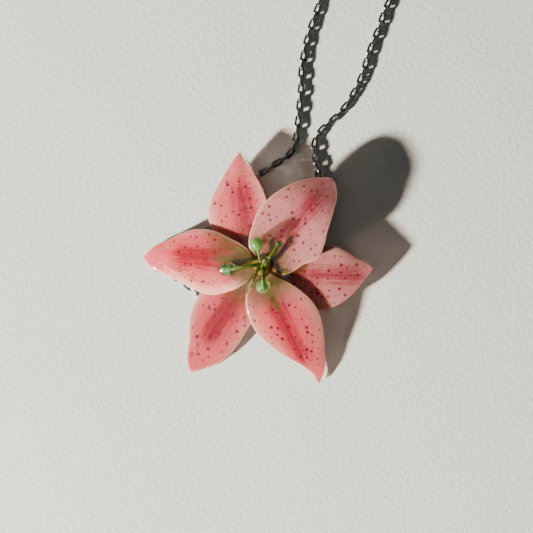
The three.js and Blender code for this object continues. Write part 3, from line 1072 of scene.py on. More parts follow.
def bead(name: str, centre: Vector, aim: Vector, radius: float, half: float, taper: float,
         unevenness: float, seed: float) -> bpy.types.Object:
    """Build a drop of cured resin.

    Args:
        name: The piece's name.
        centre: Its middle.
        aim: The way its long axis points.
        radius: Its radius.
        half: Half of the straight part of its axis.
        taper: How much thinner it is at the end that it aims at, as a share.
        unevenness: How far its skin wanders, as a share of the radius.
        seed: Which unevenness it has.

    Returns:
        The drop.
    """
    aim = aim.normalized()
    normal = aim.orthogonal().normalized()
    side = aim.cross(normal)
    rows, around = 26, 28
    points: list[Vector] = []
    for i in range(rows + 1):
        tilt = math.pi * i / rows
        end = math.copysign(min(1.0, abs(math.cos(tilt)) * 3), -math.cos(tilt))
        along = -math.cos(tilt) * radius + half * end
        share = (along / (half + radius) + 1) / 2
        size = math.sin(tilt) * radius * (1 - taper * share)
        for angle in angles(around):
            out = normal * math.cos(angle) + side * math.sin(angle)
            wander = 1 + unevenness * ripple(out * size + aim * along, radius * 1.3, seed)
            points.append(centre + aim * along + out * size * wander)
    return new_piece(name, points, ring_faces(rows + 1, around))


@dataclass(frozen=True)
class StamenShape:
    """A filament that leaves the throat at a place in the bloom, and the anther over another."""

    name: str
    start: tuple[float, float]
    at: tuple[float, float]
    radius: float
    half: float
    aim: Point
    height: float
    bow: float
    resin: Resin
    wire: float
    taper: float = 0.0
    kernel: float = 0.0


@dataclass
class Stamens:
    """The five stamens: green lines in clear coats, with beads of resin for anthers."""

    place: BloomPlace
    shapes: Sequence[StamenShape]
    dome_top: float = 7.0
    filament_radius: float = 0.4
    start_height: float = 0.6

    def make(self, finishes: Finishes) -> None:
        """Build every stamen.

        Args:
            finishes: The materials.
        """
        for seed, shape in enumerate(self.shapes):
            centre = self.place.leaned(*shape.at, self.dome_top + shape.height)
            start = self.place.leaned(*shape.start, self.dome_top + self.start_height)
            aim = Vector(shape.aim).normalized()
            self.anther(shape, centre, aim, 2.0 + seed, finishes)
            self.filament(shape, start, centre, aim, finishes)

    def anther(self, shape: StamenShape, centre: Vector, aim: Vector, seed: float,
               finishes: Finishes) -> None:
        """Build one bead.

        Args:
            shape: The stamen.
            centre: The middle of the bead.
            aim: The way its long axis points.
            seed: Which unevenness it has.
            finishes: The materials.
        """
        node = f"anther_{shape.name}"
        drop = bead(node + "_bead", centre, aim, shape.radius, shape.half, shape.taper, 0.07, seed)
        resins = {Resin.MILKY: finishes.bead_milky, Resin.GREEN: finishes.bead_green,
                  Resin.CLEAR: finishes.bead_clear}
        dress(drop, resins[shape.resin], [node])
        if shape.kernel:
            low = centre - Vector((0, 0, 0.3 * shape.radius))
            kernel = bead(node + "_kernel", low, aim, shape.kernel, shape.half * 0.8, 0.3, 0.25,
                          seed + 9)
            dress(kernel, finishes.kernel)

    def filament(self, shape: StamenShape, start: Vector, centre: Vector, aim: Vector,
                 finishes: Finishes) -> None:
        """Build one filament: its green line and its coat.

        Args:
            shape: The stamen.
            start: Where the route leaves the throat.
            centre: The middle of the anther.
            aim: The way the anther's long axis points.
            finishes: The materials.
        """
        node = f"filament_{shape.name}"
        middle = start.lerp(centre, 0.5)
        middle.z = max(start.z, middle.z - shape.radius / 2) + shape.bow
        facing = math.copysign(1.0, aim.dot(centre - start))
        root = centre - aim * shape.half * facing
        end = root + (middle - root).normalized() * (shape.radius - 0.1)
        inside = root + (middle - root).normalized() * shape.radius * 0.2
        foot = start - Vector((shape.start[0], shape.start[1], 0)) * 0.25 - Vector((0, 0, 0.55))
        radius = self.filament_radius
        coat = bar(node + "_coat", [foot, start, middle, end],
                   (radius * 1.6, radius * 1.4, radius * 1.15, radius, radius * 1.1), 16, 0.12)
        dress(coat, finishes.stem, [node])
        thin = shape.wire
        wire = bar(node + "_wire", [foot, start, middle, end, inside],
                   (thin * 1.5, thin, thin * 0.9, thin, thin * 0.8), 8, 0.25)
        dress(wire, finishes.wire_green, [node])


@dataclass
class Throat:
    """The pool of resin over the petals' roots, its stem, and the pistil that stands in it."""

    place: BloomPlace
    stem_radius: float = THROAT_RADIUS
    stem_foot: float = 4.0
    pool_level: float = 6.4
    pool_top: float = 7.0
    pool_radius: float = 2.3

    def make(self, finishes: Finishes) -> None:
        """Build the pool, the green under it, the style and the stigma.

        Args:
            finishes: The materials.
        """
        rim, stem, foot, low = self.pool_radius, self.stem_radius, self.stem_foot, self.pool_level
        profile = [(0.0, foot), (stem, foot), (stem, low - 0.25), (stem + 0.35, low), (rim * 0.93, low),
                   (rim, low + 0.1), (rim * 0.95, low + 0.26), (rim * 0.8, low + 0.4),
                   (rim * 0.55, low + 0.52), (rim * 0.28, self.pool_top - 0.03), (0.0, self.pool_top)]
        dress(self.turned("throat_pool", profile), finishes.throat, ["throat_resin"])
        heart = [(0.0, low - 0.5), (0.6, low - 0.45), (0.7, low + 0.04), (1.5, low + 0.05),
                 (1.85, low + 0.1), (1.7, low + 0.2), (1.1, low + 0.32), (0.5, low + 0.4),
                 (0.0, low + 0.42)]
        dress(self.turned("throat_heart", heart), finishes.heart)
        self.pistil(finishes)

    def turned(self, name: str, profile: Sequence[tuple[float, float]]) -> bpy.types.Object:
        """Build a piece from a profile that goes round the throat with gentle lobes.

        Args:
            name: The piece's name.
            profile: Radii and heights from the bottom to the top.

        Returns:
            The piece.
        """
        around = 64
        points: list[Vector] = []
        for radius, z in profile:
            for angle in angles(around):
                lobes = 1 + 0.05 * math.sin(3 * angle + 0.6) + 0.03 * math.sin(5 * angle)
                size = radius * (lobes if z > self.pool_level - 0.01 else 1.0)
                x, y = size * math.cos(angle), size * math.sin(angle)
                uneven = 0.05 if z > self.pool_level + 0.2 else 0.0
                lift = uneven * ripple(Vector((x, y, z)), 0.8, 5.0)
                points.append(self.place.leaned(x, y, z + lift))
        return new_piece(name, points, ring_faces(len(profile), around))

    def pistil(self, finishes: Finishes) -> None:
        """Build the style and its three-lobed stigma.

        Args:
            finishes: The materials.
        """
        top = self.pool_top
        route = [self.place.at(0, 0, top - 0.15), self.place.at(0.1, 0.2, top + 1.0),
                 self.place.at(0.5, 1.1, top + 2.25), self.place.at(0.62, 1.38, top + 2.6)]
        style = bar("style_stem", route, (0.46, 0.36, 0.32, 0.36, 0.4), 16, 0.12)
        dress(style, finishes.throat, ["style"])
        wire = bar("style_wire", route, (0.2, 0.13, 0.11, 0.14, 0.2), 8, 0.2)
        dress(wire, finishes.wire_green, ["style"])
        rows, around = 20, 48
        points: list[Vector] = []
        for i in range(rows + 1):
            tilt = math.pi * i / rows
            z = top + 3.0 - 0.42 * math.copysign(abs(math.cos(tilt)) ** 0.8, math.cos(tilt))
            for angle in angles(around):
                size = math.sin(tilt) ** 0.8 * 0.93 * (0.82 + 0.18 * math.cos(3 * angle))
                x, y = 0.65 + size * math.cos(angle), 1.5 + size * math.sin(angle)
                points.append(self.place.at(x, y, z))
        stigma = new_piece("stigma_lobes", points, ring_faces(rows + 1, around))
        dress(stigma, finishes.bead_clear, ["stigma"])


@dataclass(frozen=True)
class Drip:
    """A drop of clear resin that has set on a petal's edge."""

    name: str
    at: Point
    radius: float
    half: float
    aim: Point

    def make(self, place: BloomPlace, finishes: Finishes) -> None:
        """Build the drop.

        Args:
            place: The bloom's place.
            finishes: The materials.
        """
        drop = bead(f"drip_{self.name}", place.at(*self.at), Vector(self.aim), self.radius, self.half,
                    0.1, 0.12, len(self.name))
        dress(drop, finishes.bead_clear)


# ---- the back of the pendant -----------------------------------------------------------------

BAIL_AZIMUTH = 40.0
BAIL_LENGTH = 3.2
BAIL_BORE = 2.0
BAIL_WALL = 0.4


@dataclass
class Bail:
    """The glued bail and the mound of resin that bonds it to the petals."""

    place: BloomPlace
    azimuth: float = BAIL_AZIMUTH
    length: float = BAIL_LENGTH
    bore: float = BAIL_BORE
    wall: float = BAIL_WALL
    pad: float = 5.0
    mound_base: float = 3.25
    mound_edge: float = 0.45
    mound_top: float = 3.95
    mound_radius: float = 2.4

    def make(self, finishes: Finishes) -> None:
        """Build the bail and the mound.

        Args:
            finishes: The materials.
        """
        self.make_loop(finishes)
        around = 56
        base, rim = self.mound_base, self.mound_radius
        edge, top = base + self.mound_edge, self.mound_top
        profile = [(0.0, base), (rim * 0.97, base), (rim, base + 0.08), (rim, edge - 0.12),
                   (rim * 0.95, edge), (rim * 0.65, top - 0.1), (rim * 0.35, top - 0.01), (0.0, top)]
        points: list[Vector] = []
        for radius, z in profile:
            for angle in angles(around):
                size = radius * (1 + 0.03 * math.sin(2 * angle + 1) + 0.02 * math.sin(5 * angle))
                x, y = size * math.cos(angle), size * math.sin(angle)
                lean = self.place.lean(x, y) if z > base + self.mound_edge / 2 else 0.0
                points.append(self.place.at(x, y, z + lean))
        mound = new_piece("back_mound", points, ring_faces(len(profile), around))
        dress(mound, finishes.throat, ["back_resin"])

    def make_loop(self, finishes: Finishes) -> None:
        """Build the square loop with its round bore and its glued flange, edges rounded.

        Args:
            finishes: The materials.
        """
        height = self.bore + 2 * self.wall
        middle = self.wall + self.bore / 2
        half, reach, top = height / 2, self.pad / 2, height + self.wall
        outline = [(half, 0.0), (half, height), (reach, height), (reach, top), (0.0, top),
                   (-reach, top), (-reach, height), (-half, height), (-half, 0.0), (0.0, 0.0)]
        steps = 48
        way = math.radians(self.azimuth)
        ahead = Vector((math.cos(way), math.sin(way), 0))
        aside = Vector((-math.sin(way), math.cos(way), 0))
        circle = [(self.bore / 2 * math.cos(angle), middle + self.bore / 2 * math.sin(angle))
                  for angle in angles(steps)]
        work = bmesh.new()
        ends = []
        for shift in (-self.length / 2, self.length / 2):
            corners, hole = [
                [work.verts.new(self.place.at(0, 0, z) * MM + (aside * x + ahead * shift) * MM)
                 for x, z in loop] for loop in (outline, circle)]
            edges = [work.edges.new((a, b)) for loop in (corners, hole)
                     for a, b in zip(loop, loop[1:] + loop[:1])]
            bmesh.ops.triangle_fill(work, use_beauty=True, use_dissolve=False, edges=edges)
            ends.append((corners, hole))
        for first, second in zip(*ends):
            for k in range(len(first)):
                n = (k + 1) % len(first)
                work.faces.new((first[k], first[n], second[n], second[k]))
        bmesh.ops.recalc_face_normals(work, faces=work.faces)
        bmesh.ops.dissolve_limit(work, angle_limit=0.02, verts=work.verts, edges=work.edges)
        mesh = bpy.data.meshes.new("bail_loop")
        work.to_mesh(mesh)
        work.free()
        loop = place_in_scene("bail_loop", mesh)
        soften(loop, 0.09)
        dress(loop, finishes.bail, ["bail"])


def soften(piece: bpy.types.Object, width: float) -> None:
    """Round the sharp edges of a piece and make the result its own mesh.

    Args:
        piece: The piece.
        width: How wide the rounding is, in millimetres.
    """
    bevel = piece.modifiers.new("rounded edges", "BEVEL")
    bevel.width = width * MM
    bevel.segments = 3
    bevel.limit_method = "ANGLE"
    bevel.angle_limit = math.radians(34)
    bevel.use_clamp_overlap = True
    mesh = settle_modifiers(piece)
    mesh.shade_smooth()
    mesh.set_sharp_from_angle(angle=math.radians(38))


def rounded_copy(node: str, name: str, width: float) -> bpy.types.Object:
    """Copy a node's solid, merge it, and round its edges.

    Args:
        node: The node.
        name: The new piece's name.
        width: How wide the rounding is, in millimetres.

    Returns:
        The new piece.
    """
    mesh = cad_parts[node].data.copy()
    work = bmesh.new()
    work.from_mesh(mesh)
    bmesh.ops.remove_doubles(work, verts=work.verts, dist=MERGE_DISTANCE)
    bmesh.ops.dissolve_limit(work, angle_limit=0.03, verts=work.verts, edges=work.edges)
    work.to_mesh(mesh)
    work.free()
    mesh.name = name
    copy = place_in_scene(name, mesh)
    soften(copy, width)
    return copy


# ---- chain -----------------------------------------------------------------------------------


def link_tree() -> bpy.types.NodeTree:
    """Build the nodes that hang oval links along a line, each a quarter turn from the last.

    Returns:
        The tree, with named inputs for its sizes.
    """
    tree = bpy.data.node_groups.new("cable links", "GeometryNodeTree")
    tree.interface.new_socket("Geometry", in_out="INPUT", socket_type="NodeSocketGeometry")
    for key, kind in (("Link Length", "Float"), ("Link Width", "Float"), ("Wire", "Float"),
                      ("Links", "Int"), ("First Roll", "Float"), ("Looseness", "Float"),
                      ("Finish", "Material")):
        tree.interface.new_socket(key, in_out="INPUT", socket_type=f"NodeSocket{kind}")
    tree.interface.new_socket("Geometry", in_out="OUTPUT", socket_type="NodeSocketGeometry")
    wires = Wiring(tree)
    given, out = wires.add("NodeGroupInput").outputs, wires.add("NodeGroupOutput")

    half_wire = wires.math("MULTIPLY", given["Wire"], 0.5)
    bend = wires.math("SUBTRACT", wires.math("MULTIPLY", given["Link Width"], 0.5), half_wire)
    straight = wires.math("SUBTRACT", given["Link Length"], given["Link Width"])
    reach = wires.math("MULTIPLY", straight, 0.5)
    oval = wires.add("GeometryNodeCurvePrimitiveCircle", {"Resolution": 12, "Radius": bend})
    position = wires.add("GeometryNodeInputPosition").outputs[0]
    spot = wires.add("ShaderNodeSeparateXYZ", {0: position}).outputs
    sign = wires.math("SIGN", wires.math("SNAP", spot[0], 1e-5))
    pull = wires.add("ShaderNodeCombineXYZ", {0: wires.math("MULTIPLY", sign, reach)}).outputs[0]
    stretched = wires.add("GeometryNodeSetPosition", {"Geometry": oval.outputs[0], "Offset": pull})
    section = wires.add("GeometryNodeCurvePrimitiveCircle", {"Resolution": 6, "Radius": half_wire})
    link = wires.add("GeometryNodeCurveToMesh", {0: stretched.outputs[0], 1: section.outputs[0]})

    line = wires.add("GeometryNodeMeshToCurve", {0: given["Geometry"]})
    even = wires.add("GeometryNodeResampleCurve", {"Curve": line.outputs[0], "Count": given["Links"]})
    even.mode = "COUNT"
    tangent = wires.add("GeometryNodeInputTangent").outputs[0]
    axes = {"Primary Axis": tangent, "Secondary Axis": (0.0, 0.0, 1.0)}
    facing = wires.add("FunctionNodeAxesToRotation", axes, primary_axis="X", secondary_axis="Z")
    index = wires.add("GeometryNodeInputIndex").outputs[0]
    odd = wires.math("FLOORED_MODULO", index, 2.0)
    turn = wires.math("MULTIPLY_ADD", odd, math.pi / 2, given["First Roll"])
    loose = wires.add("FunctionNodeRandomValue", {"Seed": 11, "ID": index}, data_type="FLOAT")
    loose.inputs[2].default_value, loose.inputs[3].default_value = -1.0, 1.0
    turn = wires.math("MULTIPLY_ADD", loose.outputs[1], given["Looseness"], turn)
    roll = wires.add("FunctionNodeAxisAngleToRotation", {"Axis": (1.0, 0.0, 0.0), "Angle": turn})
    turned = wires.add("FunctionNodeRotateRotation", {0: facing.outputs[0], 1: roll.outputs[0]},
                       rotation_space="LOCAL")
    hung = wires.add("GeometryNodeInstanceOnPoints", {
        "Points": even.outputs[0], "Instance": link.outputs[0], "Rotation": turned.outputs[0]})
    real = wires.add("GeometryNodeRealizeInstances", {0: hung.outputs[0]})
    shaded = wires.add("GeometryNodeSetShadeSmooth", {"Geometry": real.outputs[0]})
    dressed = wires.add("GeometryNodeSetMaterial", {
        "Geometry": shaded.outputs[0], "Material": given["Finish"]})
    tree.links.new(dressed.outputs[0], out.inputs[0])
    return tree


@dataclass
class Chain:
    """The cable chain: two stretches that leave the bail's mouths, the left one mostly coiled up."""

    place: BloomPlace
    width: float = 1.5
    link_length: float = 2.82
    wire: float = 0.52
    bore_height: float = BAIL_WALL + BAIL_BORE / 2
    bore_start: float = 0.9
    lying: float = 0.77
    landing: float = 0.87
    coil_centre: tuple[float, float] = (22.5, 70.0)
    coil_radii: tuple[float, float] = (6.75, 8.25)
    coil_turns: int = 5
    looseness: float = 0.16

    def bore(self, side: float, reach: float) -> Point:
        """A place on the bore's line, a reach from the bail's middle."""
        way = math.radians(BAIL_AZIMUTH)
        return side * reach * math.cos(way), side * reach * math.sin(way), self.bore_height

    def lay(self, stops: Sequence[tuple[float, float]]) -> list[Point]:
        """Put stops on the surface that the chain lies on."""
        return [(x, y, self.lying) for x, y in stops]

    def left_route(self) -> list[Point]:
        """Lay out the left stretch up to its coil.

        Returns:
            The route's points, from the bail on.
        """
        down = [(-4.2, -3.3, 1.05), (-7.2, -5.3, self.landing)]
        return [self.bore(-1, self.bore_start), (-1.6, -1.34, self.bore_height), *down, *self.lay((
            (-10.1, -6.4), (-12.6, -6.3), (-14.7, -5.2), (-16.5, -4.0), (-18.2, -2.8), (-19.56, -1.23),
            (-19.95, 0.8), (-19.28, 2.76), (-17.71, 4.11), (-15.7, 5.1), (-13.1, 6.7), (-9.6, 10.0),
            (-6.6, 13.9), (-3.9, 17.2), (-0.5, 19.8), (3.4, 22.4), (6.4, 24.9), (7.5, 28.8),
            (7.9, 33.0), (8.4, 38.0), (8.6, 43.0), (9.6, 48.4), (11.0, 52.9), (12.4, 57.0),
            (13.1, 60.6), (12.5, 66.0),
        ))]

    def right_route(self) -> list[Point]:
        """Lay out the right stretch, to the end ring.

        Returns:
            The route's points, from the bail on.
        """
        down = [(4.2, 4.0, 1.05), (6.9, 7.6, self.landing)]
        return [self.bore(1, self.bore_start), (1.6, 1.34, self.bore_height), *down, *self.lay((
            (9.4, 11.9), (11.4, 16.2), (12.2, 20.2), (11.5, 23.8), (11.4, 26.6), (12.6, 29.1),
            (14.8, 31.2), (17.3, 33.6), (19.6, 37.0), (21.6, 41.1), (23.2, 46.2), (25.2, 51.3),
            (27.4, 57.0), (30.4, 61.0), (33.3, 65.4), (34.7, 70.0), (35.0, 73.9),
        ))]

    def coil_route(self, enter: Point, leave: Point) -> list[Point]:
        """Route of the coil: two columns of turns, three layers high, wound clockwise.

        Args:
            enter: The last point before the coil.
            leave: The first point after it.

        Returns:
            Points of the coil between them.
        """
        cx, cy = self.coil_centre
        inner, outer = self.coil_radii
        start = math.atan2(enter[1] - cy, enter[0] - cx) % FULL_TURN
        end = math.atan2(leave[1] - cy, leave[0] - cx)
        total = start - end + FULL_TURN * self.coil_turns
        far_in = math.hypot(enter[0] - cx, enter[1] - cy)
        far_out = math.hypot(leave[0] - cx, leave[1] - cy)
        step = self.width
        points: list[Point] = []
        count = round(total / math.radians(15))
        for k in range(1, count):
            turns = total * k / count / FULL_TURN
            left = total / FULL_TURN - turns
            inward = smoothstep(0.88, 1.12, turns) - smoothstep(2.88, 3.12, turns)
            radius = outer + (inner - outer) * inward
            radius += (far_in - outer) * (1 - smoothstep(0.0, 0.17, turns))
            radius += (far_out - outer) * (1 - smoothstep(0.12, 0.4, left))
            z = self.lying + step * (smoothstep(1.88, 2.12, turns) + smoothstep(3.88, 4.12, turns))
            z -= 2 * step * (1 - smoothstep(0.0, 0.3, left))
            angle = start - turns * FULL_TURN
            points.append((cx + radius * math.cos(angle), cy + radius * math.sin(angle), z))
        return points

    def stretch(self, name: str, route: Sequence[Point], first_roll: float, tree: bpy.types.NodeTree,
                finishes: Finishes) -> tuple[bpy.types.Object, list[Vector]]:
        """Hang links along a route.

        Args:
            name: The piece's name.
            route: The route's points, seen from the bloom's middle.
            first_roll: How far the first link is turned from lying flat, in radians.
            tree: The nodes that hang the links.
            finishes: The materials.

        Returns:
            The stretch of chain and the line that it follows, in metres in the frame.
        """
        line = [self.place.at(*p) * MM for p in catmull_rom(route, 0.6)]
        mesh = bpy.data.meshes.new(name)
        mesh.from_pydata([tuple(p) for p in line], [(k, k + 1) for k in range(len(line) - 1)], [])
        piece = place_in_scene(name, mesh)
        pitch = (self.link_length - 2 * self.wire) * MM
        links = 2 * round(route_length(line) / pitch / 2) + 1
        modifier = piece.modifiers.new("links", "NODES")
        modifier.node_group = tree
        values = {
            "Link Length": self.link_length * MM, "Link Width": self.width * MM,
            "Wire": self.wire * MM, "Links": links, "First Roll": first_roll,
            "Looseness": self.looseness, "Finish": finishes.chain,
        }
        for item in tree.interface.items_tree:
            if item.in_out == "INPUT" and item.name in values:
                modifier[item.identifier] = values[item.name]
        piece.update_tag()
        settle_modifiers(piece)
        log.info("%s: %d links over %.1f mm", name, links, route_length(line) / MM)
        return piece, line

    def make(self, finishes: Finishes) -> tuple[tuple[bpy.types.Object, list[Vector]], ...]:
        """Build both stretches.

        Args:
            finishes: The materials.

        Returns:
            The left and the right stretch, each with its line.
        """
        tree = link_tree()
        before = self.left_route()
        after = self.lay(((24.2, 80.5), (27.0, 81.0), (29.82, 81.64)))
        route = before + self.coil_route(before[-1], after[0]) + after
        left = self.stretch("chain_left", route, 0.0, tree, finishes)
        right = self.stretch("chain_right", self.right_route(), math.pi / 2, tree, finishes)
        dress(left[0], finishes.chain, ["chain_run_left", "chain_coil", "chain_run_clasp"])
        dress(right[0], finishes.chain, ["chain_run_right"])
        return left, right

    def declare(self, stretches: Sequence[tuple[bpy.types.Object, list[Vector]]],
                ends: Sequence[Sequence[bpy.types.Object]]) -> None:
        """Work out where each stretch leaves the bail's bore; the result is not used.

        Args:
            stretches: The left and the right stretch, each with its line.
            ends: The pieces on the far end of each.
        """
        for (piece, line), side, on_it in zip(stretches, (-1, 1), ends):
            mouth = self.place.at(*self.bore(side, BAIL_LENGTH / 2)) * MM


# ---- clasp and rings -------------------------------------------------------------------------


@dataclass
class Clasp:
    """The sprung lobster clasp, the ring on its tail and the ring at the chain's other end."""

    place: BloomPlace
    wire: float = 0.25
    jump_radius: float = 1.35
    end_radius: float = 1.6
    end_tilt: float = 9.2
    pin_dome: float = 0.12

    def ring(self, name: str, centre: Vector, turn: Matrix, radius: float) -> bpy.types.Object:
        """Build a wire ring whose ends meet in a fine cut.

        Args:
            name: The piece's name.
            centre: Its middle.
            turn: How it is turned from lying flat.
            radius: The radius of its middle line.

        Returns:
            The ring.
        """
        around, sides = 64, 12
        cut = math.radians(2.2)
        closing = (0.0, 0.86, 1.0)
        points: list[Vector] = []
        for i in range(around + 1):
            angle = cut + (FULL_TURN - 2 * cut) * i / around
            middle = Vector((math.cos(angle), math.sin(angle), 0)) * radius
            out = middle.normalized()
            for size in (closing if i == 0 else closing[::-1] if i == around else (1.0,)):
                for way in angles(sides):
                    spot = out * math.cos(way) + Vector((0, 0, math.sin(way)))
                    points.append(centre + turn @ (middle + spot * self.wire * size))
        return new_piece(name, points, ring_faces(around + 5, sides))

    def pin(self, name: str) -> bpy.types.Object:
        """Build the lever's pin with a domed head at each end.

        Args:
            name: The piece's name.

        Returns:
            The pin.
        """
        low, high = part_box("clasp_pin")
        centre = (low + high) / 2 / MM
        radius = (high.x - low.x) / 2 / MM
        half = (high.z - low.z) / 2 / MM
        tilts = (0.0, 0.3, 0.6, 0.9, 1.2)
        depth = self.pin_dome / (1 - math.cos(tilts[-1]))
        dome = [(radius * math.sin(a), half - depth * (1 - math.cos(a))) for a in tilts]
        profile = dome + [(radius, half - self.pin_dome - 0.04)]
        profile += [(r, -z) for r, z in reversed(profile)]
        around = 32
        points = [centre + Vector((r * math.cos(angle), r * math.sin(angle), z))
                  for r, z in profile for angle in angles(around)]
        return new_piece(name, points, ring_faces(len(profile), around))

    def make(self, finishes: Finishes) -> tuple[list[bpy.types.Object], list[bpy.types.Object]]:
        """Build the clasp and both rings.

        Args:
            finishes: The materials.

        Returns:
            The pieces on the left stretch's end and those on the right stretch's end.
        """
        steel = finishes.clasp

        def turned(degrees: float, axis: str) -> Matrix:
            """A turn about an axis."""
            return Matrix.Rotation(math.radians(degrees), 3, axis)

        body = rounded_copy("clasp_body", "clasp_hook", 0.16)
        dress(body, steel, ["clasp_body"])
        lever = rounded_copy("clasp_lever", "clasp_gate", 0.1)
        dress(lever, steel, ["clasp_lever"], LEVER)
        pin = dress(self.pin("clasp_rivet"), steel, ["clasp_pin"])
        low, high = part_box("clasp_ring")
        upright = turned(12, "Z") @ turned(90, "X") @ turned(75, "Z")
        jump = self.ring("clasp_jump_ring", (low + high) / 2 / MM, upright, self.jump_radius)
        dress(jump, steel, ["clasp_ring"])
        low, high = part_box("end_ring")
        lift = self.end_radius * math.sin(math.radians(self.end_tilt))
        tilted = turned(-self.end_tilt, "X") @ turned(20, "Z")
        end = self.ring("chain_end_ring", (low + high) / 2 / MM + Vector((0, 0, lift)), tilted,
                        self.end_radius)
        dress(end, steel, ["end_ring"])
        return [jump, body, lever, pin], [end]


# ---- setting ---------------------------------------------------------------------------------


@dataclass
class Setting:
    """The camera, the pale sheet that the pendant lies on and the light."""

    view_width: float = 114.6
    view_height: float = 450.0
    bloom_height: float = 4.0
    view_shift: tuple[float, float] = (0.97, -0.11)
    sensor_width: float = 36.0
    paper_width: float = 1.8

    def camera(self, place: BloomPlace) -> None:
        """Put the camera straight over the pendant.

        Args:
            place: The bloom's place.
        """
        lens = bpy.data.cameras.new("camera")
        lens.sensor_width = self.sensor_width
        lens.lens = self.sensor_width * (self.view_height - self.bloom_height) / self.view_width
        lens.clip_start, lens.clip_end = 0.01, 5.0
        eye = place_in_scene("camera", lens)
        eye.location = place.at(*self.view_shift, self.view_height) * MM
        bpy.context.scene.camera = eye

    def sheet(self) -> None:
        """Lay the pale grained sheet under everything."""
        half = self.paper_width / 2
        corners = [(-half, -half, 0), (half, -half, 0), (half, half, 0), (-half, half, 0)]
        mesh = bpy.data.meshes.new("paper")
        mesh.from_pydata(corners, [], [(0, 1, 2, 3)])
        paper = place_in_scene("paper", mesh)
        material, wires, surface = open_material("drawing paper")
        place = wires.place()
        tooth = wires.grain(place, 1050.0, 3.0, 0.62)
        cloud = wires.grain(place, 26.0, 2.0)
        tint = wires.blend(cloud, rgb(216, 223, 212), rgb(225, 229, 218))
        shader = wires.add("ShaderNodeBsdfPrincipled", {
            "Base Color": tint, "Roughness": 0.85, "Normal": wires.bump(tooth, 0.75, 0.16 * MM),
        })
        wires.tree.links.new(shader.outputs[0], surface)
        mesh.materials.append(material)

    def lamp(self, name: str, azimuth: float, elevation: float, distance: float, size: float,
             power: float, tint: tuple[float, float, float]) -> None:
        """Hang a soft lamp that faces the pendant.

        Args:
            name: Its name.
            azimuth: Where it is, in degrees round the pendant.
            elevation: How high it is, in degrees.
            distance: How far off it is, in metres.
            size: Its width, in metres.
            power: Its power, in watts.
            tint: Its colour.
        """
        light = bpy.data.lights.new(name, "AREA")
        light.shape, light.size, light.energy, light.color = "DISK", size, power, tint
        lamp = place_in_scene(name, light)
        turn, lift = math.radians(azimuth), math.radians(elevation)
        flat = math.cos(lift)
        way = Vector((math.cos(turn) * flat, math.sin(turn) * flat, math.sin(lift)))
        lamp.location = way * distance
        lamp.rotation_euler = way.to_track_quat("Z", "Y").to_euler()

    def light(self) -> None:
        """Light the pendant from the lower left, with a weak fill from all round."""
        self.lamp("key", 210.0, 22.0, 0.9, 0.07, 42.0, (1.0, 0.975, 0.925))
        self.lamp("fill", 75.0, 52.0, 1.1, 0.9, 0.3, (1.0, 0.93, 0.92))
        self.lamp("gleam", 225.0, 71.0, 1.0, 0.36, 0.22, (0.96, 0.98, 1.0))
        world = bpy.data.worlds.new("room")
        world.use_nodes = True
        sky = world.node_tree.nodes["Background"]
        sky.inputs["Color"].default_value = (0.78, 0.84, 0.9, 1.0)
        sky.inputs["Strength"].default_value = 0.03
        bpy.context.scene.world = world


# ---- the necklace ----------------------------------------------------------------------------

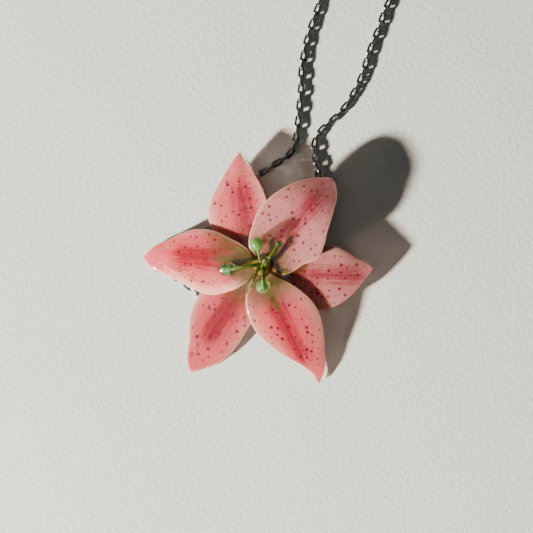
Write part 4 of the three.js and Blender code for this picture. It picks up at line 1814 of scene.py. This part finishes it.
PETALS: tuple[tuple[PetalShape, PetalPaint], ...] = (
    (PetalShape("petal_front_upper_right", 50.7, 23.9, Layer.FRONT,
                (75, 55, 43, 30, 18, 8.5, 1), (76, 51, 43, 24, 13.5, 7.5, 1),
                (0, 0.35, 0.4, -2.0), (0.1, 0.1), (77, 81), (0.15, 0.15), 0.2),
     PetalPaint(3.0, 2.0, 0.04, 0.94, 0.85, 0.36, 0.9, 4.6, 0.65, 1.0, 0.1, glow=0.07,
                pale=rgb(143, 97, 94), pink=rgb(146, 92, 95), red=rgb(122, 48, 58))),
    (PetalShape("petal_front_left", 175.7, 25.7, Layer.FRONT,
                (52, 42.5, 33.5, 19, 10, 6, 0.6), (46, 37, 32, 24, 12.6, 6.4, 0.6),
                (0, 0.1, -1.1, -3.05), (0.2, -1.2), (58, 48), (0.2, 0.12), 0.2),
     PetalPaint(21.0, 2.3, 0.14, 0.84, 1.1, 0.5, 0.95, 2.6, 1.0, 0.8, -0.8, tilt=-0.4, spike=0.42,
                green_tilt=-0.025, pale=rgb(196, 140, 128), pink=rgb(170, 76, 83),
                red=rgb(126, 28, 40))),
    (PetalShape("petal_front_lower_right", -64.2, 28.2, Layer.FRONT,
                (34, 32, 28, 19.5, 11, 5.8, 0.6), (60, 46, 31.5, 17, 5.5, 1, 0.6),
                (0, 0.1, -1.4, -3.2), (-0.4, -0.2), (33.9, 62.1), (0.15, 0.2), 0.2),
     PetalPaint(35.0, 2.0, 0.1, 0.92, 1.0, 0.42, 0.9, 3.4, 0.85, 0.9, -0.9, tilt=-0.05, spike=0.4,
                pale=rgb(156, 108, 100), pink=rgb(166, 72, 77), red=rgb(124, 32, 44))),
    (PetalShape("petal_back_top", 100.9, 25.0, Layer.BACK,
                (62, 51, 45, 35, 17, 6.3, 0.6), (46, 30, 20, 13.7, 7.4, 3, 0.6),
                (0, -0.3, -0.9, -2.5), (-1.5, 0.5), (67.6, 51.2), (0.2, 0.5), 0.4),
     # Painted light: the green and brown base is kept weak here so that this petal's base, in the front
     # petals' shade, stays lighter.
     PetalPaint(47.0, 2.3, 0.16, 0.84, 1.0, 0.46, 0.5, 3.6, 0.9, 0.8, 1.4, green_tilt=0.015,
                pale=rgb(158, 110, 104), pink=rgb(156, 74, 79), red=rgb(126, 40, 52))),
    (PetalShape("petal_back_right", -1.5, 24.3, Layer.BACK,
                (46, 33, 25, 18, 8.7, 3.8, 0.6), (58, 51, 46, 38.5, 23, 8.5, 0.6),
                (0, -0.4, -1.1, -2.75), (-0.3, -0.6), (51.2, 61.2), (0.3, 0.9), 0.5),
     # Painted light: the green and brown base is kept weak here so that this petal's base, in the shade of
     # the petals over it, stays lighter.
     PetalPaint(59.0, 2.2, 0.2, 1.0, 0.85, 0.5, 0.4, 4.2, 0.6, 0.8, -1.6, tilt=-0.1,
                pale=rgb(152, 114, 108), pink=rgb(146, 90, 92), red=rgb(124, 54, 62))),
    (PetalShape("petal_back_lower_left", -123.9, 27.7, Layer.BACK,
                (50, 31, 22.6, 17.7, 12, 4.8, 0.6), (60, 44, 34, 24, 11.7, 6, 0.6),
                (0, -0.5, -0.4, -0.15), (-0.3, 0), (61.2, 67.6), (0.3, 0.2), 0.3),
     PetalPaint(81.0, 2.4, 0.12, 0.82, 1.1, 0.46, 0.9, 2.6, 0.9, 1.0, -1.0, spike=0.3,
                pale=rgb(160, 108, 101), pink=rgb(166, 68, 77), red=rgb(116, 26, 38))),
)

STAMENS: tuple[StamenShape, ...] = (
    StamenShape("top", (-0.3, 1.1), (-1.1, 4.6), 1.42, 1.0, (0, 0.1, 1), 2.3, 0.1,
                Resin.MILKY, wire=0.2),
    StamenShape("left", (-1.15, 0.2), (-7.4, -0.7), 1.5, 0.55, (-1, 0.05, -0.1), 1.0, 0.8,
                Resin.CLEAR, taper=0.08, kernel=0.75, wire=0.26),
    StamenShape("bottom", (0.2, -1.05), (0.3, -4.4), 1.52, 0.0, (0, 0, 1), 1.3, 0.3,
                Resin.GREEN, kernel=0.55, wire=0.3),
    StamenShape("upper_right", (0.95, 0.6), (3.65, 4.7), 0.75, 0.0, (0, 0, 1), 0.9, 0.4,
                Resin.CLEAR, kernel=0.4, wire=0.36),
    StamenShape("lower_left", (-1.0, -0.95), (-2.8, -4.9), 0.65, 0.4, (-0.2, -1, 0), 0.3, 0.3,
                Resin.CLEAR, taper=0.1, wire=0.16),
)

DRIPS: tuple[Drip, ...] = (
    Drip("between_left_petals", (-11.8, -6.0, 3.1), 0.55, 0.5, (1, -0.15, 0)),
    Drip("lower_left_tip", (-15.2, -18.9, 1.45), 0.6, 0.1, (0.4, 1, 0)),
    Drip("lower_right_edge", (-3.9, -11.9, 3.0), 0.5, 0.3, (0.1, 1, 0)),
)


def main() -> None:
    """Build the necklace and its setting."""
    logging.basicConfig(level=logging.INFO, format="%(name)s: %(message)s")
    place = BloomPlace.from_bail()
    setting = Setting()
    setting.camera(place)
    finishes = Finishes()
    chain = Chain(place)
    stretches = chain.make(finishes)
    ends = Clasp(place).make(finishes)
    chain.declare(stretches, ends)
    for shape, paint in PETALS:
        Petal(shape, paint, place).make(finishes)
    for drip in DRIPS:
        drip.make(place, finishes)
    Stamens(place, STAMENS).make(finishes)
    Throat(place).make(finishes)
    Bail(place).make(finishes)
    setting.sheet()
    setting.light()


if __name__ == "__main__":
    main()
